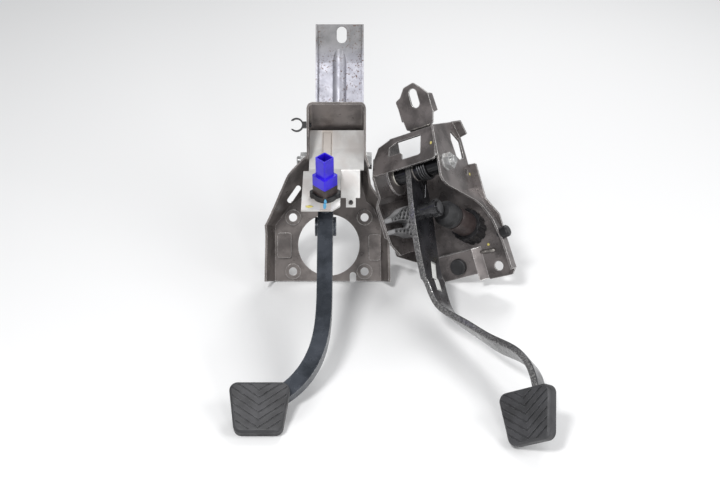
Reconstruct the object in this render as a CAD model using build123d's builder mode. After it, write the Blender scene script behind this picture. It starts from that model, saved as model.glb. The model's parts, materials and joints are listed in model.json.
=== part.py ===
from build123d import *
import os
from math import acos, atan2, cos, degrees, hypot, pi, radians, sin, tan

os.makedirs("parts", exist_ok=True)

# Two pedal units of one car, a brake pedal and a clutch pedal, standing side by side as on a bench.
# Each unit has its own axes, fixed to the plate that bolts to the bulkhead: x along the pivot bolt,
# v up the plate and n out of it, towards the driver.

# Stance of the two units
brake_lean = 31.0
brake_stance = (-62.74, 94.09)
clutch_roll = 16.0
clutch_yaw = 29.0
clutch_spread = 133.5

# Pressed sheet
sheet = 2.3
bracket_sheet = 2.0

# Brake base plate and hood, pressed from one sheet
base_left = -60.3
base_right = 58.4
flange_depth = 22.0
flange_splay = 0.36
flange_top = 62.0
hood_left = -19.5
hood_right = 39.0
hood_root = 101.0
hood_rise = 0.52
hood_roof = 151.0
hood_front = 80.0
hood_corner = 6.0
booster_bore = 68.6
booster_height = 40.4
stud_bore = 9.0
stud_span = 80.0
stud_rise = 60.5
stud_ring = 17.0
emboss = 1.6
seat_raise = 3.0
wing_slot = (22.0, 5.0)
wing_slot_place = (-38.0, 96.5)
wing_slot_turn = 53.0

# Upper strap on the hood roof
strap_left = -13.3
strap_right = 38.9
strap_foot = 38.0
foot_length = 14.0
strap_bend = (240.0, 30.0)
strap_top = (281.0, 38.0)
strap_radius = 4.0
strap_slot = (10.9, 17.7)
strap_slot_place = (15.0, 269.6)
flange_low = 8.0
flange_high = 9.0
flange_tip = 4.0
rib_x = 12.5
rib_radius = 8.2

# Cable clip on the hood wall
clip_place = (hood_roof + 18.7, 55.0)
clip_stem = 5.0
clip_block = 5.0
clip_depth = 7.0
clip_ring = 15.0

# Brake pivot
brake_pivot = (132.5, 36.0)
pivot_bolt = 10.0
pivot_head = 16.0
pivot_head_height = 6.4
pivot_nut_height = 8.0
sleeve_outer = 15.0
bush_wall = 1.5
bush_length = 14.0
bush_flange = 1.5
bush_lip = 1.8
hub_wall = 2.0
pivot_gap = 0.1
thread_tail = 4.2
weld_gap = 0.02
running_gap = 0.05
side_gap = 0.2

# Switch bracket: a plate across the hood that turns forward into a shelf
plate_top = (hood_roof + 13.4, 38.4)
plate_knee = (hood_roof - 7.5, 50.0)
plate_bend = (120.0, 66.0)
lower_face_end = (91.0, 63.0)
shelf_slope = 53.0
shelf_length = 75.0
shelf_left = -25.3
shelf_right = 14.6
lower_face_right = 35.0
tab_x = 25.1
tab_width = 10.5
tab_end = (81.0, 62.0)
tab_hole = 5.0
bead_x = -0.5
bead_width = 8.6
bead_rise = 3.0
switch_station = 51.0
switch_x = -1.0
switch_bore = 20.0
ring_height = 6.0
ring_outer = 25.0
ring_ears = 32.0
body_side = 19.0
body_height = 9.0
connector_side = 14.0
connector_wall = 1.3
connector_height = 33.0
connector_depth = 18.0
collar_height = 12.0
terminal_height = 10.0
plunger_bore = 6.0
plunger_room = 16.0
plunger_length = 14.0
plunger_gap = 0.3

# Brake arm and pad
brake_arm_thick = 15.7
brake_arm_x = -1.0
clevis_place = (60.0, 92.0)
clevis_bore = 10.0
clevis_boss = 20.0
clevis_width = 22.0
brake_eye = 34.0
seat_drop = 8.5
seat_width = 15.0
button_stem = 7.0
button_stem_length = 6.0
button_head = 13.0
button_height = 3.0
pad_top = 60.0
pad_bottom = 45.0
pad_height = 51.0
pad_thick = 11.0
pad_plate = 2.5
pad_rim = 3.0
pad_lip = 2.0
pad_seat = 0.1
groove_depth = 1.2
groove_width = 2.2
groove_pitch = 7.6
groove_count = 10
groove_angle = 35.0
groove_margin = 2.5
neck = (26.0, 15.0)
neck_gap = 0.4
brake_pad_tilt = 30.0
brake_pad_x = -60.5
brake_pad_v = -110.5
brake_pad_n = 224.3
brake_neck_place = (3.0, 1.0)
brake_neck_turn = 25.0

# Return springs
spring_wire_width = 2.4
spring_gap = 0.6
brake_spring_left = 10.0
brake_spring_turns = 4
clutch_spring_left = 33.0
clutch_spring_turns = 4

# Clutch plates
clutch_pivot = (126.0, 57.0)
clutch_sleeve_outer = 13.0
foot_height = 8.0
foot_slope = 8.0
foot_width = 42.0
foot_rise = 26.0
left_wall_x = -14.7
left_wall_step = 5.3
right_wall_x = 61.2
frame_low = (133.0, 76.0)
frame_tilt = 35.5
right_foot_x = 82.5
lip_width = 6.0
flange_reach = 9.0
frame_height = 43.0
frame_top = (168.0, 49.0)
roof_back = 30.0
ear_left = 1.0
ear_radius = 20.0
arch_n = 38.0
arch_slot_place = (40.7, 202.7)
left_stud_place = (-38.0, 70.0)
plug_place = (36.0, 8.0)
plug_width = 13.0
plug_height = 9.0
fork_width = 9.0
fork_floor = 2.0
fork_rib = 1.3
fork_cell = 6.5
tab_bore = 10.5
tab_place = (65.0, 2.3)
bumper_place = (22.5, 12.8)
bumper_width = 18.0
bumper_height = 6.0
bumper_stem = 8.0

# Clutch arm, rod and cylinder
clutch_arm_thick = 6.5
clutch_arm_x = 24.0
rod_pin_place = (82.0, 74.0)
rod_pin_width = 12.0
pin_stem = 10.0
pin_shoulder = 16.0
pin_cap = 1.6
rod_x = 46.0
rod_eye = 19.0
rod_eye_width = 7.0
rod_length = 45.0
rod_width = 6.0
rod_ball = 8.0
cylinder_foot = 51.0
cylinder_outer = 27.0
barrel_start = 30.0
barrel_length = 44.5
bore_mouth = 19.0
bore_width = 13.0
bore_taper = 12.0
port_width = 11.0
port_length = 16.0
port_bore = 16.0
twist_collar = 36.0
collar_reach = 14.0
scallop = 5.0
scallop_count = 12
boot_start = 12.5
boot_lip = 9.0
boot_grip = 4.0
boot_wall = 1.4
clutch_eye = 31.0
clutch_pad_place = (142.0, -125.0)
clutch_pad_tilt = 24.0
clutch_pad_turn = 9.0
clutch_pad_n = 215.2
clutch_neck_place = (6.5, 4.0)
clutch_neck_turn = 90.0

# The axes of each unit in the shared frame
brake_face = Plane(
    origin=(brake_stance[0], brake_stance[1], sheet * sin(radians(brake_lean))),
    x_dir=(1, 0, 0),
    z_dir=(0, -cos(radians(brake_lean)), sin(radians(brake_lean))),
)
view_axis = brake_face.z_dir
roll = radians(clutch_roll)
yaw = radians(clutch_yaw)
clutch_up = brake_face.y_dir * cos(roll) - brake_face.x_dir * sin(roll)
level = brake_face.x_dir * cos(roll) + brake_face.y_dir * sin(roll)
clutch_out = view_axis * cos(yaw) - level * sin(yaw)
clutch_across = clutch_up.cross(clutch_out)
clutch_lift = -clutch_out.Z * (foot_height - sheet)
clutch_face = Plane(
    origin=(brake_stance[0] + clutch_spread, brake_stance[1] + 4.5, clutch_lift),
    x_dir=clutch_across,
    z_dir=clutch_out,
)


def profile_plane(face, x):
    """Sketch axes (v, n), extruding towards +x."""
    return Plane(origin=face.from_local_coords((x, 0, 0)), x_dir=face.y_dir, z_dir=face.x_dir)


def level_plane(face, v):
    """Sketch axes (x, n), extruding down the plate."""
    return Plane(origin=face.from_local_coords((0, v, 0)), x_dir=face.x_dir, z_dir=face.y_dir * -1)


def tilted_plane(face, x, v, n, back, turn=0.0):
    """A plane whose normal leans from n towards v by back degrees and towards x by turn degrees."""
    outward = face.z_dir * cos(radians(back)) + face.y_dir * sin(radians(back))
    normal = outward * cos(radians(turn)) + face.x_dir * sin(radians(turn))
    sideways = face.x_dir * cos(radians(turn)) - outward * sin(radians(turn))
    return Plane(origin=face.from_local_coords((x, v, n)), x_dir=sideways, z_dir=normal)


def bar_planes(face, stations, edge):
    """Section planes along a bent bar given by (x, v, n, depth) points.

    The points lie on its centre line with an edge of 0 and on its front edge with an edge of 0.5.
    """
    places = [face.from_local_coords(station[:3]) for station in stations]
    planes = []
    for index, place in enumerate(places):
        before = places[max(index - 1, 0)]
        after = places[min(index + 1, len(places) - 1)]
        run = (after - before).normalized()
        front = (face.z_dir * -run.dot(face.y_dir) + face.y_dir * run.dot(face.z_dir)).normalized()
        centre = place - front * (stations[index][3] * edge)
        planes.append(Plane(origin=centre, x_dir=front.cross(run), z_dir=run))
    return planes


# Brake base plate with its flared wings and hood

bell_stations = [
    (0.0, 0.0, base_left, base_right, flange_splay),
    (flange_top, 0.0, base_left, base_right, 0.30),
    (82.0, 0.30, -45.0, 50.0, 0.12),
    (89.0, 0.42, -37.0, 42.0, 0.06),
    (hood_root, hood_rise, hood_left, hood_right, 0.0),
    (hood_roof, hood_rise, hood_left, hood_right, 0.0),
]


def bell_plane(v, rise):
    run = brake_face.z_dir + brake_face.y_dir * rise
    return Plane(
        origin=brake_face.from_local_coords((0, v, 0)),
        x_dir=brake_face.x_dir,
        z_dir=brake_face.x_dir.cross(run),
    )


def bell_section(v, rise, left, right, splay, wall, back):
    """A trapezium that widens outwards; wall grows it sideways, back moves its rear edge."""
    stretch = hypot(1, rise)
    reach = 110.0
    with BuildSketch(bell_plane(v, rise)) as section:
        with BuildLine():
            Polyline(
                (left - wall + splay * back, -back * stretch),
                (right + wall - splay * back, -back * stretch),
                (right + wall + splay * reach, reach * stretch),
                (left - wall - splay * reach, reach * stretch),
                close=True,
            )
        make_face()
    return section.sketch


outside = [bell_section(*station, wall=sheet, back=sheet) for station in bell_stations]
inside_stations = [list(station) for station in bell_stations]
inside_stations[0][0] -= sheet
inside_stations[-1][0] -= sheet * hypot(1, hood_rise)
inside = [bell_section(*station, wall=0.0, back=0.0) for station in inside_stations]

def folded(plane, points, radius, thickness, side=Side.LEFT):
    """A bent strip of sheet seen edge on; the points run along one of its faces."""
    with BuildSketch(plane) as section:
        with BuildLine():
            FilletPolyline(*points, radius=radius)
            offset(amount=thickness, side=side)
        make_face()
    return section.sketch


def plate_outline(plane, points, corner=0.0):
    """A flat outline through the points, with its corners rounded alike."""
    with BuildSketch(plane) as outline:
        with BuildLine():
            if corner:
                FilletPolyline(*points, radius=corner, close=True)
            else:
                Polyline(*points, close=True)
        make_face()
    return outline.sketch


def roof_height(n):
    """Height of the upper face of the hood roof at a distance n from the base plate."""
    return hood_roof + hood_rise * n


# Brake base plate: the pressed bell with its roof, openings and embossed seats

with BuildPart() as brake_bracket:
    loft(outside, ruled=True)
    loft(inside, ruled=True, mode=Mode.SUBTRACT)
    hood_lip = hood_roof + hood_front * hood_rise + 8
    with BuildSketch(profile_plane(brake_face, -120)):
        with BuildLine():
            Line((-5, flange_depth), (46, flange_depth))
            Spline(
                (46, flange_depth),
                (76, 33),
                (100, 50),
                (122, 66),
                tangents=[(1, 0), (1, 0.45)],
            )
            Polyline(
                (122, 66),
                (160, 74),
                (hood_lip, hood_front),
                (hood_lip, -10),
                (-5, -10),
                (-5, flange_depth),
            )
        make_face()
    extrude(amount=240, mode=Mode.INTERSECT)
    # the right wing is cut lower, to clear the clutch unit
    extrude(
        plate_outline(
            profile_plane(brake_face, hood_right + 2 * sheet),
            [(56, flange_depth), (80, 27), (104, 40), (124, 58), (124, 90), (56, 90)],
        ),
        amount=60,
        mode=Mode.SUBTRACT,
    )
    roof_run = Axis(brake_face.origin, brake_face.z_dir + brake_face.y_dir * hood_rise)
    roof_edges = brake_bracket.edges().filter_by(roof_run).sort_by(Axis.X)
    fillet([roof_edges[0], roof_edges[-1]], hood_corner)
    roof_edges = brake_bracket.edges().filter_by(roof_run).filter_by(
        lambda edge: abs(edge.center().X - brake_stance[0] - hood_left) < 0.01
        or abs(edge.center().X - brake_stance[0] - hood_right) < 0.01
    )
    fillet(roof_edges, hood_corner - sheet)
    # raised seats on the front, with their hollows behind
    for front, spare in ((brake_face, 0.0), (brake_face.offset(-sheet), sheet)):
        with BuildSketch(front):
            with Locations((0, booster_height + 0.6)):
                with GridLocations(stud_span, stud_rise, 2, 2):
                    Circle(stud_ring / 2 - spare / 2)
        extrude(amount=emboss, mode=Mode.SUBTRACT if spare else Mode.ADD)
        with BuildSketch(front):
            with Locations((-49.6, 39.8)):
                RectangleRounded(15.6 - spare, 28 - spare, 3)
            with Locations((51.2, 37.8)):
                RectangleRounded(13.0 - spare, 29 - spare, 3)
        extrude(amount=seat_raise, mode=Mode.SUBTRACT if spare else Mode.ADD)
    with BuildSketch(brake_face.offset(-sheet)):
        with Locations((0, booster_height)):
            Circle(booster_bore / 2)
        with Locations((0, booster_height + 0.6)):
            with GridLocations(stud_span, stud_rise, 2, 2):
                Circle(stud_bore / 2)
        with Locations((27, 0)):
            SlotOverall(20, 7, rotation=90)
    extrude(amount=sheet + emboss, mode=Mode.SUBTRACT)
    # lightening slot in the left wing, bolt holes and the clip hole in the hood walls
    with BuildSketch(brake_face.offset(4)):
        with Locations(wing_slot_place):
            SlotOverall(wing_slot[0], wing_slot[1], rotation=wing_slot_turn)
    extrude(amount=50, mode=Mode.SUBTRACT)
    with BuildSketch(profile_plane(brake_face, hood_left - 2 * sheet)):
        with Locations(brake_pivot):
            Circle(pivot_bolt / 2 + pivot_gap)
    extrude(amount=hood_right - hood_left + 4 * sheet, mode=Mode.SUBTRACT)
    with BuildSketch(profile_plane(brake_face, hood_left - 2 * sheet)):
        with Locations(clip_place):
            Circle(clip_stem / 2)
    extrude(amount=3 * sheet, mode=Mode.SUBTRACT)

brake_bracket.part.label = "brake_bracket"
export_step(brake_bracket.part, "parts/brake_bracket.step")

# Upper strap: folded sheet welded to the roof, with a pressed half-round rib

strap_width = strap_right - strap_left
strap_run = Vector(strap_bend[0] - roof_height(strap_foot), strap_bend[1] - strap_foot)
strap_lean = degrees(atan2(strap_run.Y, strap_run.X))

with BuildPart() as brake_upper_strap:
    extrude(
        folded(
            profile_plane(brake_face, strap_left),
            [
                (roof_height(strap_foot + foot_length), strap_foot + foot_length),
                (roof_height(strap_foot), strap_foot),
                strap_bend,
                strap_top,
            ],
            strap_radius,
            bracket_sheet,
        ),
        amount=strap_width,
    )
    # side flanges turned towards the driver
    for x in (strap_left, strap_right - bracket_sheet):
        extrude(
            plate_outline(
                profile_plane(brake_face, x),
                [
                    (roof_height(strap_foot) + 2, strap_foot + 1),
                    (roof_height(strap_foot) + 6, strap_foot + flange_low),
                    (strap_bend[0], strap_bend[1] + flange_high),
                    (strap_top[0] - 1, strap_top[1] + flange_tip),
                    (strap_top[0], strap_top[1]),
                    (strap_bend[0], strap_bend[1] + 0.5),
                ],
            ),
            amount=bracket_sheet,
        )
    rib_plane = Plane(
        origin=brake_face.from_local_coords((rib_x, strap_bend[0] + 14, strap_bend[1] + 0.5)),
        x_dir=brake_face.x_dir,
        z_dir=brake_face.y_dir * -cos(radians(strap_lean)) - brake_face.z_dir * sin(radians(strap_lean)),
    )
    rib_length = strap_run.length + 5
    with BuildSketch(rib_plane):
        with Locations((0, rib_radius * 0.4 * -1)):
            Circle(rib_radius)
        with Locations((0, -rib_radius)):
            Rectangle(3 * rib_radius, 2 * rib_radius, mode=Mode.SUBTRACT)
    extrude(amount=rib_length)
    with BuildSketch(rib_plane):
        with Locations((0, rib_radius * 0.4 * -1)):
            Circle(rib_radius - bracket_sheet)
        with Locations((0, -rib_radius - bracket_sheet)):
            Rectangle(3 * rib_radius, 2 * rib_radius, mode=Mode.SUBTRACT)
    extrude(amount=rib_length, mode=Mode.SUBTRACT)
    with BuildSketch(brake_face):
        with Locations(strap_slot_place):
            SlotOverall(strap_slot[1], strap_slot[0], rotation=90)
    extrude(amount=60, mode=Mode.SUBTRACT)

brake_upper_strap.part.label = "brake_upper_strap"
export_step(brake_upper_strap.part, "parts/brake_upper_strap.step")

# Switch bracket: plate across the hood, shelf for the switch and a spring tab

shelf_run = Vector(-cos(radians(shelf_slope)), sin(radians(shelf_slope)))
shelf_face = tilted_plane(brake_face, 0, plate_bend[0], plate_bend[1], shelf_slope)
switch_place = Vector(*plate_bend) + shelf_run * switch_station
switch_face = tilted_plane(brake_face, switch_x, switch_place.X, switch_place.Y, shelf_slope)

with BuildPart() as brake_switch_bracket:
    extrude(
        folded(
            profile_plane(brake_face, hood_left),
            [plate_top, plate_knee, plate_bend],
            2,
            bracket_sheet,
            Side.RIGHT,
        ),
        amount=hood_right - hood_left,
    )
    extrude(
        folded(
            profile_plane(brake_face, shelf_right),
            [plate_knee, plate_bend, lower_face_end],
            2,
            bracket_sheet,
            Side.RIGHT,
        ),
        amount=lower_face_right - shelf_right,
    )
    extrude(
        folded(
            profile_plane(brake_face, tab_x - tab_width / 2),
            [plate_bend, lower_face_end, tab_end],
            2,
            bracket_sheet,
            Side.RIGHT,
        ),
        amount=tab_width,
    )
    # stiffening bead down the plate
    extrude(
        folded(
            profile_plane(brake_face, bead_x - bead_width / 2),
            [
                (plate_top[0] - 3, plate_top[1] + bead_rise),
                (plate_knee[0], plate_knee[1] + bead_rise),
                (plate_bend[0] + 5, plate_bend[1] - 1.5),
            ],
            2,
            bracket_sheet,
            Side.RIGHT,
        ),
        amount=bead_width,
    )
    with BuildSketch(shelf_face):
        with BuildLine():
            Polyline(
                (shelf_left, -4),
                (hood_left, -4),
                (hood_left, 0),
                (shelf_right, 0),
                (shelf_right, 8 - shelf_length),
                (shelf_right - 8, -shelf_length),
                (shelf_left, -shelf_length),
                close=True,
            )
        make_face()
    extrude(amount=bracket_sheet)
    with BuildSketch(switch_face):
        Circle(switch_bore / 2)
    extrude(amount=bracket_sheet, mode=Mode.SUBTRACT)
    with BuildSketch(brake_face.offset(tab_end[1] - 6)):
        with Locations((tab_x, tab_end[0] + 5)):
            Circle(tab_hole / 2)
    extrude(amount=14, mode=Mode.SUBTRACT)

brake_switch_bracket.part.label = "brake_switch_bracket"
export_step(brake_switch_bracket.part, "parts/brake_switch_bracket.step")


# Pivots: a clamp bolt and nut hold a sleeve between two walls, and the hub turns on it


def pivot_bolt_part(face, place, head_x, tip_x):
    """Hexagon bolt along x, its head to the side of head_x that is away from tip_x."""
    way = 1 if head_x > tip_x else -1
    with BuildPart() as bolt:
        with BuildSketch(profile_plane(face, tip_x)):
            with Locations(place):
                Circle(pivot_bolt / 2)
        extrude(amount=head_x - tip_x)
        chamfer(bolt.edges().filter_by(GeomType.CIRCLE).sort_by(Axis(face.origin, face.x_dir * way))[0], 1)
        with BuildSketch(profile_plane(face, head_x)):
            with Locations(place):
                RegularPolygon(pivot_head / 2, 6, major_radius=False)
        extrude(amount=way * pivot_head_height)
        with BuildSketch(profile_plane(face, head_x)):
            with Locations(place):
                Circle(pivot_head / 2 + 1)
        extrude(amount=way * 1.2)
    return bolt


def pivot_nut_part(face, place, seat_x, way):
    with BuildPart() as nut:
        with BuildSketch(profile_plane(face, seat_x)):
            with Locations(place):
                RegularPolygon(pivot_head / 2, 6, major_radius=False)
        extrude(amount=way * pivot_nut_height)
        with BuildSketch(profile_plane(face, seat_x)):
            with Locations(place):
                Circle(pivot_head / 2 + 1.4)
        extrude(amount=way * 1.4)
        with BuildSketch(profile_plane(face, seat_x - way)):
            with Locations(place):
                Circle(pivot_bolt / 2 + pivot_gap)
        extrude(amount=way * (pivot_nut_height + 2), mode=Mode.SUBTRACT)
    return nut


def pivot_sleeve_part(face, place, left, right, outer):
    with BuildPart() as sleeve:
        with BuildSketch(profile_plane(face, left)):
            with Locations(place):
                Circle(outer / 2)
                Circle(pivot_bolt / 2 + pivot_gap, mode=Mode.SUBTRACT)
        extrude(amount=right - left)
    return sleeve


def pivot_bush_part(face, place, left, right, inner):
    """Two flanged bushes, their flanges towards the walls."""
    with BuildPart() as bushes:
        for wall_x, way in ((left + side_gap, 1), (right - side_gap, -1)):
            with BuildSketch(profile_plane(face, wall_x)):
                with Locations(place):
                    Circle(inner / 2 + bush_wall)
                    Circle(inner / 2, mode=Mode.SUBTRACT)
            extrude(amount=way * bush_length)
            with BuildSketch(profile_plane(face, wall_x)):
                with Locations(place):
                    Circle(inner / 2 + bush_wall + bush_lip)
                    Circle(inner / 2, mode=Mode.SUBTRACT)
            extrude(amount=way * bush_flange)
    return bushes


def pivot_hub_part(face, place, left, right, inner):
    end_gap = side_gap + bush_flange
    with BuildPart() as hub:
        with BuildSketch(profile_plane(face, left + end_gap)):
            with Locations(place):
                Circle(inner / 2 + bush_wall + hub_wall)
                Circle(inner / 2 + bush_wall, mode=Mode.SUBTRACT)
        extrude(amount=right - left - 2 * end_gap)
    return hub


brake_bolt = pivot_bolt_part(
    brake_face, brake_pivot, hood_right + sheet, hood_left - sheet - pivot_nut_height - thread_tail
)
brake_bolt.part.label = "brake_pivot_bolt"
export_step(brake_bolt.part, "parts/brake_pivot_bolt.step")

brake_nut = pivot_nut_part(brake_face, brake_pivot, hood_left - sheet, -1)
brake_nut.part.label = "brake_pivot_nut"
export_step(brake_nut.part, "parts/brake_pivot_nut.step")

brake_sleeve = pivot_sleeve_part(brake_face, brake_pivot, hood_left, hood_right, sleeve_outer)
brake_sleeve.part.label = "brake_pivot_sleeve"
export_step(brake_sleeve.part, "parts/brake_pivot_sleeve.step")

brake_bushes = pivot_bush_part(
    brake_face, brake_pivot, hood_left, hood_right, sleeve_outer + 2 * running_gap
)
brake_bushes.part.label = "brake_pivot_bushes"
export_step(brake_bushes.part, "parts/brake_pivot_bushes.step")

brake_hub = pivot_hub_part(brake_face, brake_pivot, hood_left, hood_right, sleeve_outer + 2 * running_gap)
brake_hub.part.label = "brake_hub_tube"
export_step(brake_hub.part, "parts/brake_hub_tube.step")
brake_hub_outer = sleeve_outer + 2 * running_gap + 2 * bush_wall + 2 * hub_wall

# Brake pad planes, then the arm that ends on the back of the pad plate

brake_pad_face = tilted_plane(brake_face, brake_pad_x, brake_pad_v, brake_pad_n, brake_pad_tilt)
brake_pad_back = brake_pad_face.offset(-(pad_thick - pad_rim))
seat_place = switch_place - Vector(sin(radians(shelf_slope)), cos(radians(shelf_slope))) * seat_drop
brake_arm_stations = [
    (brake_arm_x, 118, 47, 27),
    (brake_arm_x, 90, 78, 28),
    (brake_arm_x, 62, 100, 30),
    (brake_arm_x, 20, 124, 28),
    (brake_arm_x, -25, 151, 25),
    (-6, -60, 172, 22),
    (-20, -86, 190, 20),
    (-45, -106, 203, 17),
    (-66, -115, 209, 15),
]


def bar_sections(face, stations, thickness, edge, first=0):
    """Rounded sections along a bent bar; edge is the part of its depth behind the given points."""
    sections = []
    for plane, station in list(zip(bar_planes(face, stations, edge), stations))[first:]:
        with BuildSketch(plane) as section:
            RectangleRounded(thickness, station[3], thickness * 0.2)
        sections.append(section.sketch)
    return sections


def neck_outline(plane, place, turn):
    """Foot of the arm, welded to the back of the pad plate."""
    with BuildSketch(plane) as outline:
        with Locations(Location(place, turn)):
            RectangleRounded(neck[0], neck[1], 3)
    return outline.sketch


with BuildPart() as brake_arm:
    loft(bar_sections(brake_face, brake_arm_stations, brake_arm_thick, 0.0))
    with BuildSketch(profile_plane(brake_face, brake_arm_x - brake_arm_thick / 2)):
        with Locations(brake_pivot):
            Circle(brake_eye / 2)
        with BuildLine():
            Polyline((130, 52), (108, 68), (108, 48), (122, 28), close=True)
        make_face()
    extrude(amount=brake_arm_thick)
    split(bisect_by=brake_pad_face.offset(-pad_thick - neck_gap), keep=Keep.BOTTOM)
    extrude(neck_outline(brake_pad_back, brake_neck_place, brake_neck_turn), amount=-pad_rim - neck_gap - 3)
    with BuildSketch(profile_plane(brake_face, brake_arm_x - clevis_width / 2)):
        with Locations(clevis_place):
            Circle(clevis_boss / 2)
    extrude(amount=clevis_width)
    # boss that carries the rubber stop of the switch
    seat_face = tilted_plane(brake_face, switch_x, seat_place.X, seat_place.Y, shelf_slope)
    with BuildSketch(seat_face.offset(-14)):
        Circle(seat_width / 2)
    extrude(amount=14)
    with BuildSketch(seat_face):
        Circle(seat_width / 2 + 8)
    extrude(amount=20, mode=Mode.SUBTRACT)
    with BuildSketch(seat_face.offset(-button_stem_length - 0.5)):
        Circle(button_stem / 2)
    extrude(amount=button_stem_length + 1, mode=Mode.SUBTRACT)
    with BuildSketch(profile_plane(brake_face, brake_arm_x - clevis_width / 2 - 1)):
        with Locations(clevis_place):
            Circle(clevis_bore / 2)
        with Locations(brake_pivot):
            Circle(brake_hub_outer / 2 + weld_gap)
    extrude(amount=clevis_width + 2, mode=Mode.SUBTRACT)

brake_arm.part.label = "brake_arm"
export_step(brake_arm.part, "parts/brake_arm.step")

# Rubber stop on the arm, pressed against the plunger of the switch at rest

with BuildPart() as brake_stop_button:
    with BuildSketch(seat_face.offset(-button_stem_length)):
        Circle(button_stem / 2)
    extrude(amount=button_stem_length)
    with BuildSketch(seat_face):
        Circle(button_head / 2)
    extrude(amount=button_height)
    chamfer(brake_stop_button.faces().sort_by(Axis(seat_face.origin, seat_face.z_dir))[-1].edges(), 0.6)

brake_stop_button.part.label = "brake_stop_button"
export_step(brake_stop_button.part, "parts/brake_stop_button.step")


# Pads: a ribbed rubber cover buttoned over a steel plate


def pad_outline(shrink):
    """Half widths at the top and bottom edge and half height, drawn in by shrink."""
    return [
        (pad_top / 2 - shrink, pad_height / 2 - shrink),
        (pad_bottom / 2 - shrink, shrink - pad_height / 2),
        (shrink - pad_bottom / 2, shrink - pad_height / 2),
        (shrink - pad_top / 2, pad_height / 2 - shrink),
    ]


def pad_plate_part(face):
    with BuildPart() as plate:
        extrude(
            plate_outline(face.offset(-(pad_thick - pad_rim)), pad_outline(pad_rim), 5),
            amount=pad_plate,
        )
    return plate


def pad_rubber_part(face):
    """Cover with rounded front edge, chevron grooves, a pocket for the plate and a lip behind it."""
    with BuildPart() as cover:
        extrude(plate_outline(face, pad_outline(0), 8), amount=-pad_thick)
        fillet(cover.faces().sort_by(Axis(face.origin, face.z_dir))[-1].edges(), 3)
        extrude(
            plate_outline(face.offset(-(pad_thick - pad_rim)), pad_outline(pad_rim - pad_seat), 5),
            amount=pad_plate,
            mode=Mode.SUBTRACT,
        )
        extrude(
            plate_outline(face.offset(-pad_thick), pad_outline(pad_rim + pad_lip), 4),
            amount=pad_rim,
            mode=Mode.SUBTRACT,
        )
        reach = pad_top / 2 + 2
        drop = reach * tan(radians(groove_angle))
        with BuildSketch(face):
            for index in range(groove_count):
                height = (index - groove_count / 2) * groove_pitch
                with BuildLine():
                    Polyline(
                        (-reach, height + drop),
                        (0, height),
                        (reach, height + drop),
                        (reach, height + drop + groove_width),
                        (0, height + groove_width),
                        (-reach, height + drop + groove_width),
                        close=True,
                    )
                make_face()
            add(plate_outline(Plane.XY, pad_outline(groove_margin), 5), mode=Mode.INTERSECT)
        extrude(amount=-groove_depth, mode=Mode.SUBTRACT)
    return cover


brake_pad_plate = pad_plate_part(brake_pad_face)
brake_pad_plate.part.label = "brake_pad_plate"
export_step(brake_pad_plate.part, "parts/brake_pad_plate.step")

brake_pad_rubber = pad_rubber_part(brake_pad_face)
brake_pad_rubber.part.label = "brake_pad_rubber"
export_step(brake_pad_rubber.part, "parts/brake_pad_rubber.step")

# Stop lamp switch: threaded barrel through the shelf, lock ring, turned square body and connector

barrel_drop = 3.0
body_foot = bracket_sheet + ring_height
body_top = body_foot + body_height

with BuildPart() as switch_lock_ring:
    with BuildSketch(switch_face.offset(bracket_sheet)):
        Circle(ring_outer / 2)
        SlotOverall(ring_ears, 9)
        Circle(switch_bore / 2, mode=Mode.SUBTRACT)
    extrude(amount=ring_height)

switch_lock_ring.part.label = "switch_lock_ring"
export_step(switch_lock_ring.part, "parts/switch_lock_ring.step")

with BuildPart() as switch_body:
    with BuildSketch(switch_face.offset(-barrel_drop)):
        Circle(switch_bore / 2 - pivot_gap)
    extrude(amount=barrel_drop + body_foot)
    with BuildSketch(switch_face.offset(body_foot)):
        RectangleRounded(body_side, body_side, 1.5, rotation=45)
    extrude(amount=body_height)
    with BuildSketch(switch_face.offset(-barrel_drop)):
        Circle(plunger_bore / 2 + running_gap)
    extrude(amount=plunger_room, mode=Mode.SUBTRACT)

switch_body.part.label = "switch_body"
export_step(switch_body.part, "parts/switch_body.step")

with BuildPart() as switch_connector:
    with BuildSketch(switch_face.offset(body_top)):
        RectangleRounded(body_side, body_side, 1.5, rotation=45)
    extrude(amount=collar_height)
    with BuildSketch(switch_face.offset(body_top)):
        RectangleRounded(connector_side, connector_side, 1.5, rotation=45)
    extrude(amount=connector_height)
    with BuildSketch(switch_face.offset(body_top + connector_height - connector_depth)):
        Rectangle(connector_side - 2 * connector_wall, connector_side - 2 * connector_wall, rotation=45)
    extrude(amount=connector_depth, mode=Mode.SUBTRACT)

switch_connector.part.label = "switch_connector"
export_step(switch_connector.part, "parts/switch_connector.step")

with BuildPart() as switch_terminals:
    with BuildSketch(switch_face.offset(body_top + connector_height - connector_depth)):
        with GridLocations(5.0, 5.0, 2, 2):
            Rectangle(0.8, 1.8)
    extrude(amount=terminal_height)

switch_terminals.part.label = "switch_terminals"
export_step(switch_terminals.part, "parts/switch_terminals.step")

plunger_tip = button_height - seat_drop + plunger_gap

with BuildPart() as switch_plunger:
    with BuildSketch(switch_face.offset(plunger_tip)):
        Circle(plunger_bore / 2)
    extrude(amount=plunger_length)
    chamfer(switch_plunger.edges().filter_by(GeomType.CIRCLE), 0.6)

switch_plunger.part.label = "switch_plunger"
export_step(switch_plunger.part, "parts/switch_plunger.step")

# Cable clip on the left wall of the hood: a spring ring open to the left on a stem

clip_wall = hood_left - sheet
clip_centre = (clip_wall - clip_block - clip_ring / 2 + 1, clip_place[0])

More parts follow.
